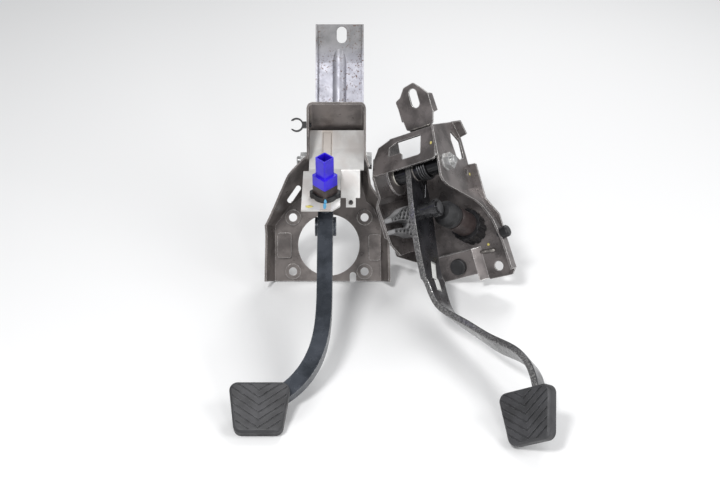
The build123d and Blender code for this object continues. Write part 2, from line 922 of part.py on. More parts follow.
with BuildPart() as cable_clip:
    with BuildSketch(brake_face.offset(clip_place[1] - clip_depth / 2)):
        with Locations(clip_centre):
            Circle(clip_ring / 2)
            Circle(clip_ring / 2 - 1.6, mode=Mode.SUBTRACT)
        with Locations((clip_centre[0] - clip_ring / 2, clip_centre[1])):
            Rectangle(clip_ring * 0.7, clip_ring * 0.6, mode=Mode.SUBTRACT)
        with Locations((clip_wall - clip_block / 2, clip_place[0])):
            Rectangle(clip_block, clip_depth)
    extrude(amount=clip_depth)
    with BuildSketch(profile_plane(brake_face, clip_wall)):
        with Locations(clip_place):
            Circle(clip_stem / 2 - 0.1)
    extrude(amount=sheet + 2)

cable_clip.part.label = "cable_clip"
export_step(cable_clip.part, "parts/cable_clip.step")


# Return springs: a wound coil round the hub, one leg on the bracket and one on the arm


def spring_wire(start, end, width):
    with BuildPart() as leg:
        with BuildSketch(Plane(origin=start, z_dir=end - start)):
            Circle(width / 2)
        extrude(amount=(end - start).length)
    return leg.part


def tangent_angle(reach, radius, way):
    """Angle on a circle where a straight leg to the point reach leaves it, for a leg ahead or behind."""
    return atan2(reach.Y, reach.X) - way * acos(radius / reach.length)


def spring_part(face, place, left, turns, inner, width, first_leg, second_leg, hook):
    """Coil along x whose legs run straight to (x, v, n) points; the second leg ends in a hook."""
    radius = inner / 2 + width / 2
    pitch = width * 1.12
    start_angle = tangent_angle(Vector(first_leg[2] - place[1], place[0] - first_leg[1]), radius, -1)
    end_angle = tangent_angle(Vector(second_leg[2] - place[1], place[0] - second_leg[1]), radius, 1)
    wound = 2 * pi * turns + (end_angle - start_angle) % (2 * pi)
    height = pitch * wound / (2 * pi)
    coil_plane = Plane(
        origin=face.from_local_coords((left, place[0], place[1])),
        x_dir=face.z_dir * cos(start_angle) - face.y_dir * sin(start_angle),
        z_dir=face.x_dir,
    )
    with BuildPart() as coil:
        with BuildLine():
            Helix(pitch, height, radius)
        with BuildSketch(Plane(origin=(radius, 0, 0), z_dir=(0, 1, pitch / (2 * pi * radius)))):
            RegularPolygon(width / 2 * 1.01, 12)
        sweep(is_frenet=True)
    begin = coil_plane.from_local_coords((radius, 0, 0))
    finish = coil_plane.from_local_coords((radius * cos(wound), radius * sin(wound), height))
    with BuildPart() as spring:
        add(coil.part.moved(coil_plane.location))
        with Locations(begin, finish, face.from_local_coords(second_leg)):
            Sphere(width * 0.52)
        add(spring_wire(begin, face.from_local_coords(first_leg), width))
        add(spring_wire(finish, face.from_local_coords(second_leg), width))
        add(spring_wire(face.from_local_coords(second_leg), face.from_local_coords(hook), width))
    return spring


brake_spring = spring_part(
    brake_face,
    brake_pivot,
    brake_spring_left,
    brake_spring_turns,
    brake_hub_outer + 2 * spring_gap,
    spring_wire_width,
    (brake_arm_x + brake_arm_thick / 2 + spring_wire_width / 2 + 0.4, 96, 66),
    (tab_x, tab_end[0] + 5, tab_end[1] - spring_wire_width / 2 - 0.3),
    (tab_x, tab_end[0] + 5, tab_end[1] + 6),
)
brake_spring.part.label = "brake_return_spring"
export_step(brake_spring.part, "parts/brake_return_spring.step")

# Clutch base plate with its raised foot and the tab at its right

with BuildPart() as clutch_base_plate:
    extrude(
        plate_outline(
            clutch_face.offset(-sheet),
            [
                (-54, 42),
                (-27, 27),
                (-2, 9.5),
                (-2, foot_rise + sheet),
                (foot_width + foot_slope, foot_rise + sheet),
                (foot_width + foot_slope, -9.6),
                (78, -10.5),
                (right_foot_x, -5),
                (right_foot_x, 57),
                (72, 78),
                (72, 118),
                (-30, 126),
                (-54, 95),
            ],
            2.0,
        ),
        amount=sheet,
    )
    # raised foot: top, slope on the right, riser above and a short riser on the left
    extrude(
        plate_outline(
            clutch_face.offset(foot_height - sheet),
            [(-2, 9.5), (0, 0), (foot_width, 0), (foot_width, foot_rise), (-2, foot_rise)],
        ),
        amount=sheet,
    )
    extrude(
        plate_outline(
            level_plane(clutch_face, foot_rise + sheet),
            [
                (-2, -sheet),
                (-2, foot_height),
                (foot_width, foot_height),
                (foot_width + foot_slope, 0),
                (foot_width + foot_slope, -sheet),
            ],
        ),
        amount=sheet,
    )
    extrude(
        plate_outline(
            level_plane(clutch_face, foot_rise + sheet),
            [
                (foot_width - 0.5, foot_height - sheet),
                (foot_width - 0.5, foot_height),
                (foot_width, foot_height),
                (foot_width + foot_slope, 0),
                (foot_width + foot_slope + 1, -sheet),
                (foot_width + foot_slope - 1.6, -sheet),
            ],
        ),
        amount=foot_rise + sheet + 8,
    )
    with BuildSketch(level_plane(clutch_face, foot_rise + 2)):
        with Locations((-2 - sheet / 2 + 1, foot_height / 2 - sheet / 2)):
            Rectangle(sheet, foot_height + sheet)
    extrude(amount=foot_rise + 2 - 9.5)
    # holes: bolt tab, collar opening, stud holes, seat of the rubber stop
    with BuildSketch(clutch_face.offset(-sheet - 1)):
        with Locations(tab_place):
            Circle(tab_bore / 2)
        with Locations((rod_x, cylinder_foot)):
            Circle(port_bore / 2)
        with Locations(left_stud_place):
            Circle(stud_bore / 2)
        with Locations(bumper_place):
            Circle(bumper_stem / 2)
    extrude(amount=foot_height + 4, mode=Mode.SUBTRACT)

clutch_base_plate.part.label = "clutch_base_plate"
export_step(clutch_base_plate.part, "parts/clutch_base_plate.step")

# Rubber stop that the arm meets at full travel

with BuildPart() as clutch_stop_bumper:
    with BuildSketch(clutch_face.offset(foot_height)):
        with Locations(bumper_place):
            Circle(bumper_width / 2)
    extrude(amount=bumper_height)
    fillet(clutch_stop_bumper.faces().sort_by(Axis(clutch_face.origin, clutch_face.z_dir))[-1].edges(), 1.5)
    with BuildSketch(clutch_face.offset(foot_height)):
        with Locations(bumper_place):
            Circle(bumper_stem / 2)
    extrude(amount=-sheet - 1)

clutch_stop_bumper.part.label = "clutch_stop_bumper"
export_step(clutch_stop_bumper.part, "parts/clutch_stop_bumper.step")

# Clutch side walls: each is bent in plan, then trimmed to its side outline

frame_back = tilted_plane(clutch_face, 0, frame_low[0], frame_low[1], frame_tilt).offset(-bracket_sheet)
frame_face = frame_back.offset(bracket_sheet)

with BuildPart() as clutch_left_wall:
    extrude(
        folded(
            clutch_face,
            [
                (left_wall_x, 152),
                (left_wall_x, 108),
                (left_wall_x - left_wall_step, 102),
                (left_wall_x - left_wall_step, 43),
            ],
            3,
            sheet,
            Side.RIGHT,
        ),
        amount=80,
    )
    with BuildSketch(profile_plane(clutch_face, left_wall_x - left_wall_step - 2 * sheet)):
        with BuildLine():
            FilletPolyline((43, 0), (43, 54), (58, 68), (104, 73), (152, 76), (152, 20), (120, 0), radius=5)
            Line((120, 0), (43, 0))
        make_face()
    extrude(amount=40, mode=Mode.INTERSECT)
    split(bisect_by=frame_back, keep=Keep.BOTTOM)
    # front edge turned outwards
    extrude(
        plate_outline(
            clutch_face.offset(66),
            [
                (left_wall_x - left_wall_step, 62),
                (left_wall_x - left_wall_step - lip_width, 66),
                (left_wall_x - left_wall_step - lip_width, 100),
                (left_wall_x - lip_width, 108),
                (left_wall_x - lip_width, 126),
                (left_wall_x, 130),
                (left_wall_x, 108),
                (left_wall_x - left_wall_step, 102),
            ],
        ),
        amount=sheet,
    )

clutch_left_wall.part.label = "clutch_left_wall"
export_step(clutch_left_wall.part, "parts/clutch_left_wall.step")

knee_high = (right_foot_x - 5.5, 54)
knee_low = (right_foot_x - 1, 28)
knee_run = Vector(knee_low[0] - knee_high[0], knee_low[1] - knee_high[1]).normalized()
plug_share = (knee_high[1] - plug_place[0]) / (knee_high[1] - knee_low[1])
plug_x = knee_high[0] + (knee_low[0] - knee_high[0]) * plug_share
plug_face = Plane(
    origin=clutch_face.from_local_coords(
        (plug_x - knee_run.Y * sheet, plug_place[0] + knee_run.X * sheet, plug_place[1])
    ),
    x_dir=clutch_face.z_dir,
    z_dir=clutch_face.x_dir * -knee_run.Y + clutch_face.y_dir * knee_run.X,
)

with BuildPart() as clutch_right_wall:
    extrude(
        folded(
            clutch_face,
            [
                (right_wall_x, 168),
                (right_wall_x, 92),
                knee_high,
                knee_low,
                (right_foot_x, -4),
            ],
            4,
            sheet,
        ),
        amount=80,
    )
    with BuildSketch(profile_plane(clutch_face, right_wall_x - 2)):
        with BuildLine():
            Spline((115, 76), (104, 69), (92, 42), (81, 24), (70, 14), tangents=[(-1, -0.1), (-1, -0.5)])
            Polyline((70, 14), (50, 13), (-4, 13), (-4, 0), (150, 0), (169, 9), (169, 62), (136, 70), (115, 76))
        make_face()
        with BuildLine():
            FilletPolyline(
                (159.7, 22.5),
                (145.5, 5),
                (127, 7.5),
                (125.6, 18.9),
                (130, 25),
                (149.2, 27),
                radius=2.5,
                close=True,
            )
        make_face(mode=Mode.SUBTRACT)
        with Locations((111, 10.7)):
            Circle(3.5, mode=Mode.SUBTRACT)
        with Locations(clutch_pivot):
            Circle(pivot_bolt / 2 + pivot_gap, mode=Mode.SUBTRACT)
    extrude(amount=40, mode=Mode.INTERSECT)
    with BuildSketch(plug_face.offset(-2 * sheet)):
        Circle(clip_stem / 2)
    extrude(amount=4 * sheet, mode=Mode.SUBTRACT)
    # flange turned outwards along the upper rear edge
    extrude(
        plate_outline(
            Plane(
                origin=clutch_face.from_local_coords((right_wall_x + sheet, 150, 0)),
                x_dir=clutch_face.x_dir,
                z_dir=clutch_face.z_dir * 19 - clutch_face.y_dir * 9,
            ),
            [(-sheet, 0), (flange_reach, 2), (flange_reach, 19), (-sheet, 21)],
        ),
        amount=sheet,
    )

clutch_right_wall.part.label = "clutch_right_wall"
export_step(clutch_right_wall.part, "parts/clutch_right_wall.step")

# Box frame over the pivot: sloping front with a window, roof and left ear

with BuildPart() as clutch_box_frame:
    with BuildSketch(frame_back):
        with BuildLine():
            FilletPolyline(
                (left_wall_x, 0),
                (left_wall_x, 22),
                (left_wall_x + 5, 36),
                (7, frame_height),
                (right_wall_x, frame_height),
                (right_wall_x, 0),
                radius=3,
                close=True,
            )
        make_face()
        with BuildLine():
            FilletPolyline(
                (4, 20),
                (4, 31),
                (14, 36),
                (43.5, 36),
                (43.5, 11),
                (20.5, 11),
                (20.5, 20),
                radius=2.5,
                close=True,
            )
        make_face(mode=Mode.SUBTRACT)
    extrude(amount=bracket_sheet)
    with BuildSketch(level_plane(clutch_face, frame_top[0])):
        with BuildLine():
            Polyline(
                (4, frame_top[1] + 3),
                (right_wall_x, frame_top[1] + 3),
                (right_wall_x, roof_back),
                (12, roof_back),
                close=True,
            )
        make_face()
    extrude(amount=bracket_sheet)
    with BuildSketch(profile_plane(clutch_face, ear_left)):
        with BuildLine():
            Polyline(
                (frame_top[0] - 1, frame_top[1]),
                (frame_top[0] - 1, roof_back),
                (clutch_pivot[0] + 6, clutch_pivot[1] - ear_radius + 1),
                (clutch_pivot[0], clutch_pivot[1]),
                (frame_low[0] + 4, frame_low[1] - 4),
                close=True,
            )
        make_face()
        with Locations(clutch_pivot):
            Circle(ear_radius)
    extrude(amount=sheet)
    split(bisect_by=frame_face, keep=Keep.BOTTOM)
    with BuildSketch(profile_plane(clutch_face, ear_left - 1)):
        with Locations(clutch_pivot):
            Circle(pivot_bolt / 2 + pivot_gap)
    extrude(amount=sheet + 2, mode=Mode.SUBTRACT)

clutch_box_frame.part.label = "clutch_box_frame"
export_step(clutch_box_frame.part, "parts/clutch_box_frame.step")

# Upper bracket of the clutch unit: arched plate with side flanges, welded on the roof

with BuildPart() as clutch_upper_bracket:
    with BuildSketch(clutch_face.offset(arch_n)):
        with BuildLine():
            FilletPolyline(
                (22, frame_top[0] + 3),
                (18, 205),
                (24.6, 208),
                (31.7, 217),
                (44.1, 219.4),
                (53, 210),
                (58.2, 203),
                (58.2, 184),
                (54, frame_top[0] + 3),
                radius=2.5,
                close=True,
            )
        make_face()
        with Locations(arch_slot_place):
            SlotOverall(21, 9.7, rotation=90, mode=Mode.SUBTRACT)
    extrude(amount=bracket_sheet)
    with BuildSketch(clutch_face.offset(arch_n)):
        with BuildLine():
            Polyline(
                (26, frame_top[0]),
                (22, frame_top[0] + 8),
                (54, frame_top[0] + 8),
                (52, frame_top[0]),
                close=True,
            )
        make_face()
    extrude(amount=bracket_sheet)
    for x, way in ((18.0, 1), (58.2, -1)):
        extrude(
            plate_outline(
                profile_plane(clutch_face, x),
                [(204, arch_n), (203, arch_n - 9), (184, arch_n - 11), (182, arch_n)],
            ),
            amount=way * bracket_sheet,
        )

clutch_upper_bracket.part.label = "clutch_upper_bracket"
export_step(clutch_upper_bracket.part, "parts/clutch_upper_bracket.step")

# Clutch pivot

ear_right = ear_left + sheet
clutch_bolt = pivot_bolt_part(
    clutch_face, clutch_pivot, ear_left, right_wall_x + sheet + pivot_nut_height + thread_tail
)
clutch_bolt.part.label = "clutch_pivot_bolt"
export_step(clutch_bolt.part, "parts/clutch_pivot_bolt.step")

clutch_nut = pivot_nut_part(clutch_face, clutch_pivot, right_wall_x + sheet, 1)
clutch_nut.part.label = "clutch_pivot_nut"
export_step(clutch_nut.part, "parts/clutch_pivot_nut.step")

clutch_sleeve = pivot_sleeve_part(clutch_face, clutch_pivot, ear_right, right_wall_x, clutch_sleeve_outer)
clutch_sleeve.part.label = "clutch_pivot_sleeve"
export_step(clutch_sleeve.part, "parts/clutch_pivot_sleeve.step")

clutch_bushes = pivot_bush_part(
    clutch_face, clutch_pivot, ear_right, right_wall_x, clutch_sleeve_outer + 2 * running_gap
)
clutch_bushes.part.label = "clutch_pivot_bushes"
export_step(clutch_bushes.part, "parts/clutch_pivot_bushes.step")

clutch_hub = pivot_hub_part(
    clutch_face, clutch_pivot, ear_right, right_wall_x, clutch_sleeve_outer + 2 * running_gap
)
clutch_hub.part.label = "clutch_hub_tube"
export_step(clutch_hub.part, "parts/clutch_hub_tube.step")
clutch_hub_outer = clutch_sleeve_outer + 2 * running_gap + 2 * bush_wall + 2 * hub_wall

# Clutch arm: one bent plate from the hub to the pad

clutch_pad_face = tilted_plane(
    clutch_face, clutch_pad_place[0], clutch_pad_place[1], clutch_pad_n, clutch_pad_tilt, -clutch_pad_turn
)
clutch_pad_back = clutch_pad_face.offset(-(pad_thick - pad_rim))
flat_stations = 3
clutch_arm_stations = [
    (clutch_arm_x, 112, 79, 42),
    (clutch_arm_x, 88, 87, 44),
    (clutch_arm_x, 49, 98.4, 42),
    (clutch_arm_x, 15, 104, 38),
    (31, -6.6, 110, 33),
    (46, -24, 118, 28),
    (74, -40.7, 132, 25),
    (100.5, -56, 148, 23),
    (127, -68.7, 165, 21),
    (143, -84, 180, 20),
    (149.5, -104, 194, 18),
    (149.5, -128, 206, 17),
]

with BuildPart() as clutch_arm:
    loft(bar_sections(clutch_face, clutch_arm_stations, clutch_arm_thick, 0.5, flat_stations))
    # flat upper part with the eye for the hub
    flat_end = clutch_arm_stations[flat_stations]
    flat_plane = bar_planes(clutch_face, clutch_arm_stations, 0.5)[flat_stations]
    front_end = clutch_face.to_local_coords(flat_plane.from_local_coords((0, flat_end[3] / 2, 0)))
    back_end = clutch_face.to_local_coords(flat_plane.from_local_coords((0, -flat_end[3] / 2, 0)))
    with BuildSketch(profile_plane(clutch_face, clutch_arm_x - clutch_arm_thick / 2)):
        with BuildLine():
            Spline((129, 71), (88, 87), (49, 98.4), (front_end.Y, front_end.Z))
            Line((front_end.Y, front_end.Z), (back_end.Y, back_end.Z))
            Spline((back_end.Y, back_end.Z), (47, 57), (82, 45), (116, 42.5))
            Line((116, 42.5), (129, 71))
        make_face()
        with Locations(clutch_pivot):
            Circle(clutch_eye / 2)
    extrude(amount=clutch_arm_thick)
    split(bisect_by=clutch_pad_face.offset(-pad_thick - neck_gap), keep=Keep.BOTTOM)
    extrude(
        neck_outline(clutch_pad_back, clutch_neck_place, clutch_neck_turn), amount=-pad_rim - neck_gap - 3
    )
    with BuildSketch(profile_plane(clutch_face, clutch_arm_x - clutch_arm_thick)):
        with Locations(clutch_pivot):
            Circle(clutch_hub_outer / 2 + weld_gap)
    extrude(amount=2 * clutch_arm_thick, mode=Mode.SUBTRACT)
    with BuildSketch(profile_plane(clutch_face, clutch_arm_x - clutch_arm_thick)):
        with Locations(rod_pin_place):
            Circle(pin_stem / 2)
    extrude(amount=2 * clutch_arm_thick, mode=Mode.SUBTRACT)

clutch_arm.part.label = "clutch_arm"
export_step(clutch_arm.part, "parts/clutch_arm.step")

clutch_pad_plate = pad_plate_part(clutch_pad_face)
clutch_pad_plate.part.label = "clutch_pad_plate"
export_step(clutch_pad_plate.part, "parts/clutch_pad_plate.step")

clutch_pad_rubber = pad_rubber_part(clutch_pad_face)
clutch_pad_rubber.part.label = "clutch_pad_rubber"
export_step(clutch_pad_rubber.part, "parts/clutch_pad_rubber.step")

# Rod pin riveted into the arm, with the rod hinged on it

arm_side = clutch_arm_x + clutch_arm_thick / 2
rod_left = rod_x - rod_eye_width / 2
rod_right = rod_x + rod_eye_width / 2

with BuildPart() as clutch_rod_pin:
    for start, length, width in (
        (arm_side - clutch_arm_thick, clutch_arm_thick, pin_stem - weld_gap * 2),
        (arm_side, rod_left - side_gap - arm_side, pin_shoulder),
        (rod_left - side_gap, rod_eye_width + 2 * side_gap, rod_pin_width),
        (rod_right + side_gap, pin_cap, pin_shoulder - 2),
    ):
        with BuildSketch(profile_plane(clutch_face, start)):
            with Locations(rod_pin_place):
                Circle(width / 2)
        extrude(amount=length)

clutch_rod_pin.part.label = "clutch_rod_pin"
export_step(clutch_rod_pin.part, "parts/clutch_rod_pin.step")

rod_way = Vector(cylinder_foot - rod_pin_place[0], -rod_pin_place[1]).normalized()
cylinder_axis = Plane(
    origin=clutch_face.from_local_coords((rod_x, rod_pin_place[0], rod_pin_place[1])),
    x_dir=clutch_face.x_dir,
    z_dir=clutch_face.y_dir * rod_way.X + clutch_face.z_dir * rod_way.Y,
)
cylinder_end = Vector(cylinder_foot - rod_pin_place[0], -rod_pin_place[1]).length

with BuildPart() as clutch_pushrod:
    with BuildSketch(profile_plane(clutch_face, rod_left)):
        with Locations(rod_pin_place):
            Circle(rod_eye / 2)
    extrude(amount=rod_eye_width)
    with BuildSketch(cylinder_axis):
        Circle(rod_width / 2)
    extrude(amount=rod_length)
    with Locations(cylinder_axis.offset(rod_length)):
        Sphere(rod_ball / 2)
    with BuildSketch(profile_plane(clutch_face, rod_left - 1)):
        with Locations(rod_pin_place):
            Circle(rod_pin_width / 2 + running_gap)
    extrude(amount=rod_eye_width + 2, mode=Mode.SUBTRACT)

clutch_pushrod.part.label = "clutch_pushrod"
export_step(clutch_pushrod.part, "parts/clutch_pushrod.step")

# Master cylinder: barrel with a blind bore, port through the plate, twist collar and boot

with BuildPart() as clutch_master_barrel:
    with BuildSketch(cylinder_axis.offset(barrel_start)):
        Circle(cylinder_outer / 2 - boot_wall)
    extrude(amount=boot_grip + 2)
    with BuildSketch(cylinder_axis.offset(barrel_start + boot_grip + 2)):
        Circle(cylinder_outer / 2)
    extrude(amount=barrel_length - boot_grip - 2)
    with BuildSketch(cylinder_axis.offset(barrel_start)):
        Circle(bore_mouth / 2)
    extrude(amount=14, taper=bore_taper, mode=Mode.SUBTRACT)
    with BuildSketch(cylinder_axis.offset(barrel_start)):
        Circle(bore_width / 2)
    extrude(amount=barrel_length - 4, mode=Mode.SUBTRACT)
    with BuildSketch(cylinder_axis.offset(barrel_start + barrel_length)):
        Circle(port_width / 2)
    extrude(amount=port_length)

clutch_master_barrel.part.label = "clutch_master_barrel"
export_step(clutch_master_barrel.part, "parts/clutch_master_barrel.step")

with BuildPart() as clutch_master_collar:
    with BuildSketch(cylinder_axis.offset(cylinder_end + 10)):
        Circle(twist_collar / 2)
        with PolarLocations(twist_collar / 2 + 1.0, scallop_count):
            Circle(scallop / 2, mode=Mode.SUBTRACT)
        Circle(cylinder_outer / 2 + weld_gap, mode=Mode.SUBTRACT)
    extrude(amount=-collar_reach - 10)
    split(bisect_by=clutch_face, keep=Keep.TOP)

clutch_master_collar.part.label = "clutch_master_collar"
export_step(clutch_master_collar.part, "parts/clutch_master_collar.step")

boot_outer = cylinder_outer / 2
boot_grip_end = barrel_start + boot_grip
boot_points = [
    (boot_lip, boot_start),
    (boot_outer - 1.6, boot_start + 4),
    (boot_outer, boot_start + 7),
    (boot_outer - 1.5, boot_start + 9),
    (boot_outer, boot_start + 11),
    (boot_outer - 1.5, boot_start + 13),
    (boot_outer, boot_start + 15),
    (boot_outer, boot_grip_end),
]

with BuildPart() as clutch_boot:
    with BuildSketch(Plane(origin=cylinder_axis.origin, x_dir=cylinder_axis.x_dir, z_dir=-cylinder_axis.y_dir)):
        with BuildLine():
            Polyline(
                (rod_width / 2 + weld_gap, boot_start + boot_wall),
                (rod_width / 2 + weld_gap, boot_start),
                *boot_points,
                (boot_outer - boot_wall + weld_gap, boot_grip_end),
                *[(r - boot_wall + weld_gap, z) for r, z in reversed(boot_points[1:-1])],
                (boot_lip - boot_wall, boot_start + boot_wall),
                close=True,
            )
        make_face()
    revolve(axis=Axis(cylinder_axis.origin, cylinder_axis.z_dir))

clutch_boot.part.label = "clutch_boot"
export_step(clutch_boot.part, "parts/clutch_boot.step")

# Ribbed plastic fork on the left wall, open towards the driver

fork_wall = left_wall_x - left_wall_step
fork_outline = [
    (66, 3),
    (58, 18),
    (60, 36),
    (66, 54),
    (68, 69),
    (73, 69),
    (72, 52),
    (70, 40),
    (74, 28),
    (79, 38),
    (80.5, 52),
    (80.5, 69.5),
    (85.5, 69.5),
    (88, 54),
    (93, 36),
    (94, 20),
    (86, 8),
]

with BuildPart() as clutch_fork:
    extrude(plate_outline(profile_plane(clutch_face, fork_wall), fork_outline, 2.0), amount=fork_width)
    with BuildSketch(profile_plane(clutch_face, fork_wall + fork_floor)):
        add(plate_outline(Plane.XY, fork_outline, 2.0))
        offset(amount=-fork_rib, mode=Mode.REPLACE)
        with BuildSketch(mode=Mode.PRIVATE) as ribs:
            for angle in (40, -50):
                with Locations(Location((76, 36), angle)):
                    with GridLocations(fork_cell, 1, 12, 1):
                        Rectangle(fork_rib, 120)
        add(ribs.sketch, mode=Mode.SUBTRACT)
    extrude(amount=fork_width, mode=Mode.SUBTRACT)

clutch_fork.part.label = "clutch_fork"
export_step(clutch_fork.part, "parts/clutch_fork.step")

# Plastic plug on the outside of the right wall

with BuildPart() as wall_plug:
    with BuildSketch(plug_face):
        Circle(plug_width / 2)
    extrude(amount=plug_height)
    chamfer(wall_plug.faces().sort_by(Axis(plug_face.origin, plug_face.z_dir))[-1].edges(), 1.5)
    with BuildSketch(plug_face):
        Circle(clip_stem / 2 - 0.1)
    extrude(amount=-sheet - 3)

wall_plug.part.label = "wall_plug"
export_step(wall_plug.part, "parts/wall_plug.step")

clutch_spring = spring_part(
    clutch_face,
    clutch_pivot,
    clutch_spring_left,
    clutch_spring_turns,
    clutch_hub_outer + 2 * spring_gap,
    spring_wire_width,
    (arm_side + spring_wire_width / 2 + 0.3, 96, 56),
    (54, frame_top[0] - bracket_sheet - 1.6, 44),
    (46, frame_top[0] - bracket_sheet - 1.6, 44),
)
clutch_spring.part.label = "clutch_return_spring"
export_step(clutch_spring.part, "parts/clutch_return_spring.step")
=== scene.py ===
# Looks of the two pedal units: pressed, painted and plated steel, rubber pads, plastics, springs
# and boot.

import json
import math

import bmesh
import bpy
from mathutils import Matrix, Vector, noise
from mathutils.bvhtree import BVHTree


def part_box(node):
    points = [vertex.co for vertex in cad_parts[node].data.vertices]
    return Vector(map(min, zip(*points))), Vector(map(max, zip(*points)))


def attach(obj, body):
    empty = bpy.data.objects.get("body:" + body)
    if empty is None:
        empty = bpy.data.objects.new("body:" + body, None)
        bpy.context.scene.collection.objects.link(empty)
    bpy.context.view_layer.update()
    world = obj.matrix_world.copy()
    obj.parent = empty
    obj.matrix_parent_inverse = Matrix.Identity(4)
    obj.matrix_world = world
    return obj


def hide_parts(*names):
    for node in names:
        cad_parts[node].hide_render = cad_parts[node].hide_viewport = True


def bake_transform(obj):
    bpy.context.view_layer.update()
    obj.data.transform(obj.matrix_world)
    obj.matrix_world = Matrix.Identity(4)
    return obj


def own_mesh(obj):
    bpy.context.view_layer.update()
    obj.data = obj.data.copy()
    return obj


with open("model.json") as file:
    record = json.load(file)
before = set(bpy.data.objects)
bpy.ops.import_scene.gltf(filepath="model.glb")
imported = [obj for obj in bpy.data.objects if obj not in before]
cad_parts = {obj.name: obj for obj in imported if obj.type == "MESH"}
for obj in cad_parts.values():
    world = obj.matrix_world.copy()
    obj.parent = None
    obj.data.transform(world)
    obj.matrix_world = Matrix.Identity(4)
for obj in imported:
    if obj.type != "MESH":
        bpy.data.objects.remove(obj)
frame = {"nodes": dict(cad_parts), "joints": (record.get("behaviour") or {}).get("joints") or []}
nodes = frame["nodes"]
joints = {joint["name"]: joint for joint in frame["joints"]}
mm = 0.001


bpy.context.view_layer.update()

# Axes of the two units, as in the part: x along the pivot, v up the plate and n out of it

plate_lean = math.radians(31.0)
brake_pivot_place = (0.0, 132.5, 36.0)
brake_x = Vector((1, 0, 0))
brake_n = Vector((0, -math.cos(plate_lean), math.sin(plate_lean)))
brake_v = brake_n.cross(brake_x)

clutch_roll = math.radians(16.0)
clutch_yaw = math.radians(29.0)
clutch_pivot_place = (46.0, 126.0, 57.0)
clutch_x = Vector(joints["clutch_swing"]["axis"]).normalized()
level = brake_x * math.cos(clutch_roll) + brake_v * math.sin(clutch_roll)
clutch_n = (brake_n * math.cos(clutch_yaw) - level * math.sin(clutch_yaw)).normalized()


class Unit:
    """Places on one of the two units, given in millimetres along its own axes."""

    def __init__(self, pivot, place, x, v, n):
        self.x, self.v, self.n = x, v, n
        self.origin = pivot - (x * place[0] + v * place[1] + n * place[2]) * mm

    def at(self, x, v, n):
        return self.origin + (self.x * x + self.v * v + self.n * n) * mm


brake = Unit(Vector(joints["brake_swing"]["pos_m"]), brake_pivot_place, brake_x, brake_v, brake_n)
clutch = Unit(
    Vector(joints["clutch_swing"]["pos_m"]),
    clutch_pivot_place,
    clutch_x,
    clutch_n.cross(clutch_x).normalized(),
    clutch_n,
)

# Camera: it looks square at the brake unit's plate from about 1.4 m

aim_place = (34.9, 45.4)
camera_far = 1400.0

camera_data = bpy.data.cameras.new("camera")
camera_data.lens = 62.5
camera_data.sensor_width = 36.0
camera = bpy.data.objects.new("camera", camera_data)
bpy.context.scene.collection.objects.link(camera)
turn = Matrix((brake.x, brake.v, brake.n)).transposed().to_4x4()
camera.matrix_world = Matrix.Translation(brake.at(*aim_place, camera_far)) @ turn
bpy.context.scene.camera = camera

# Materials


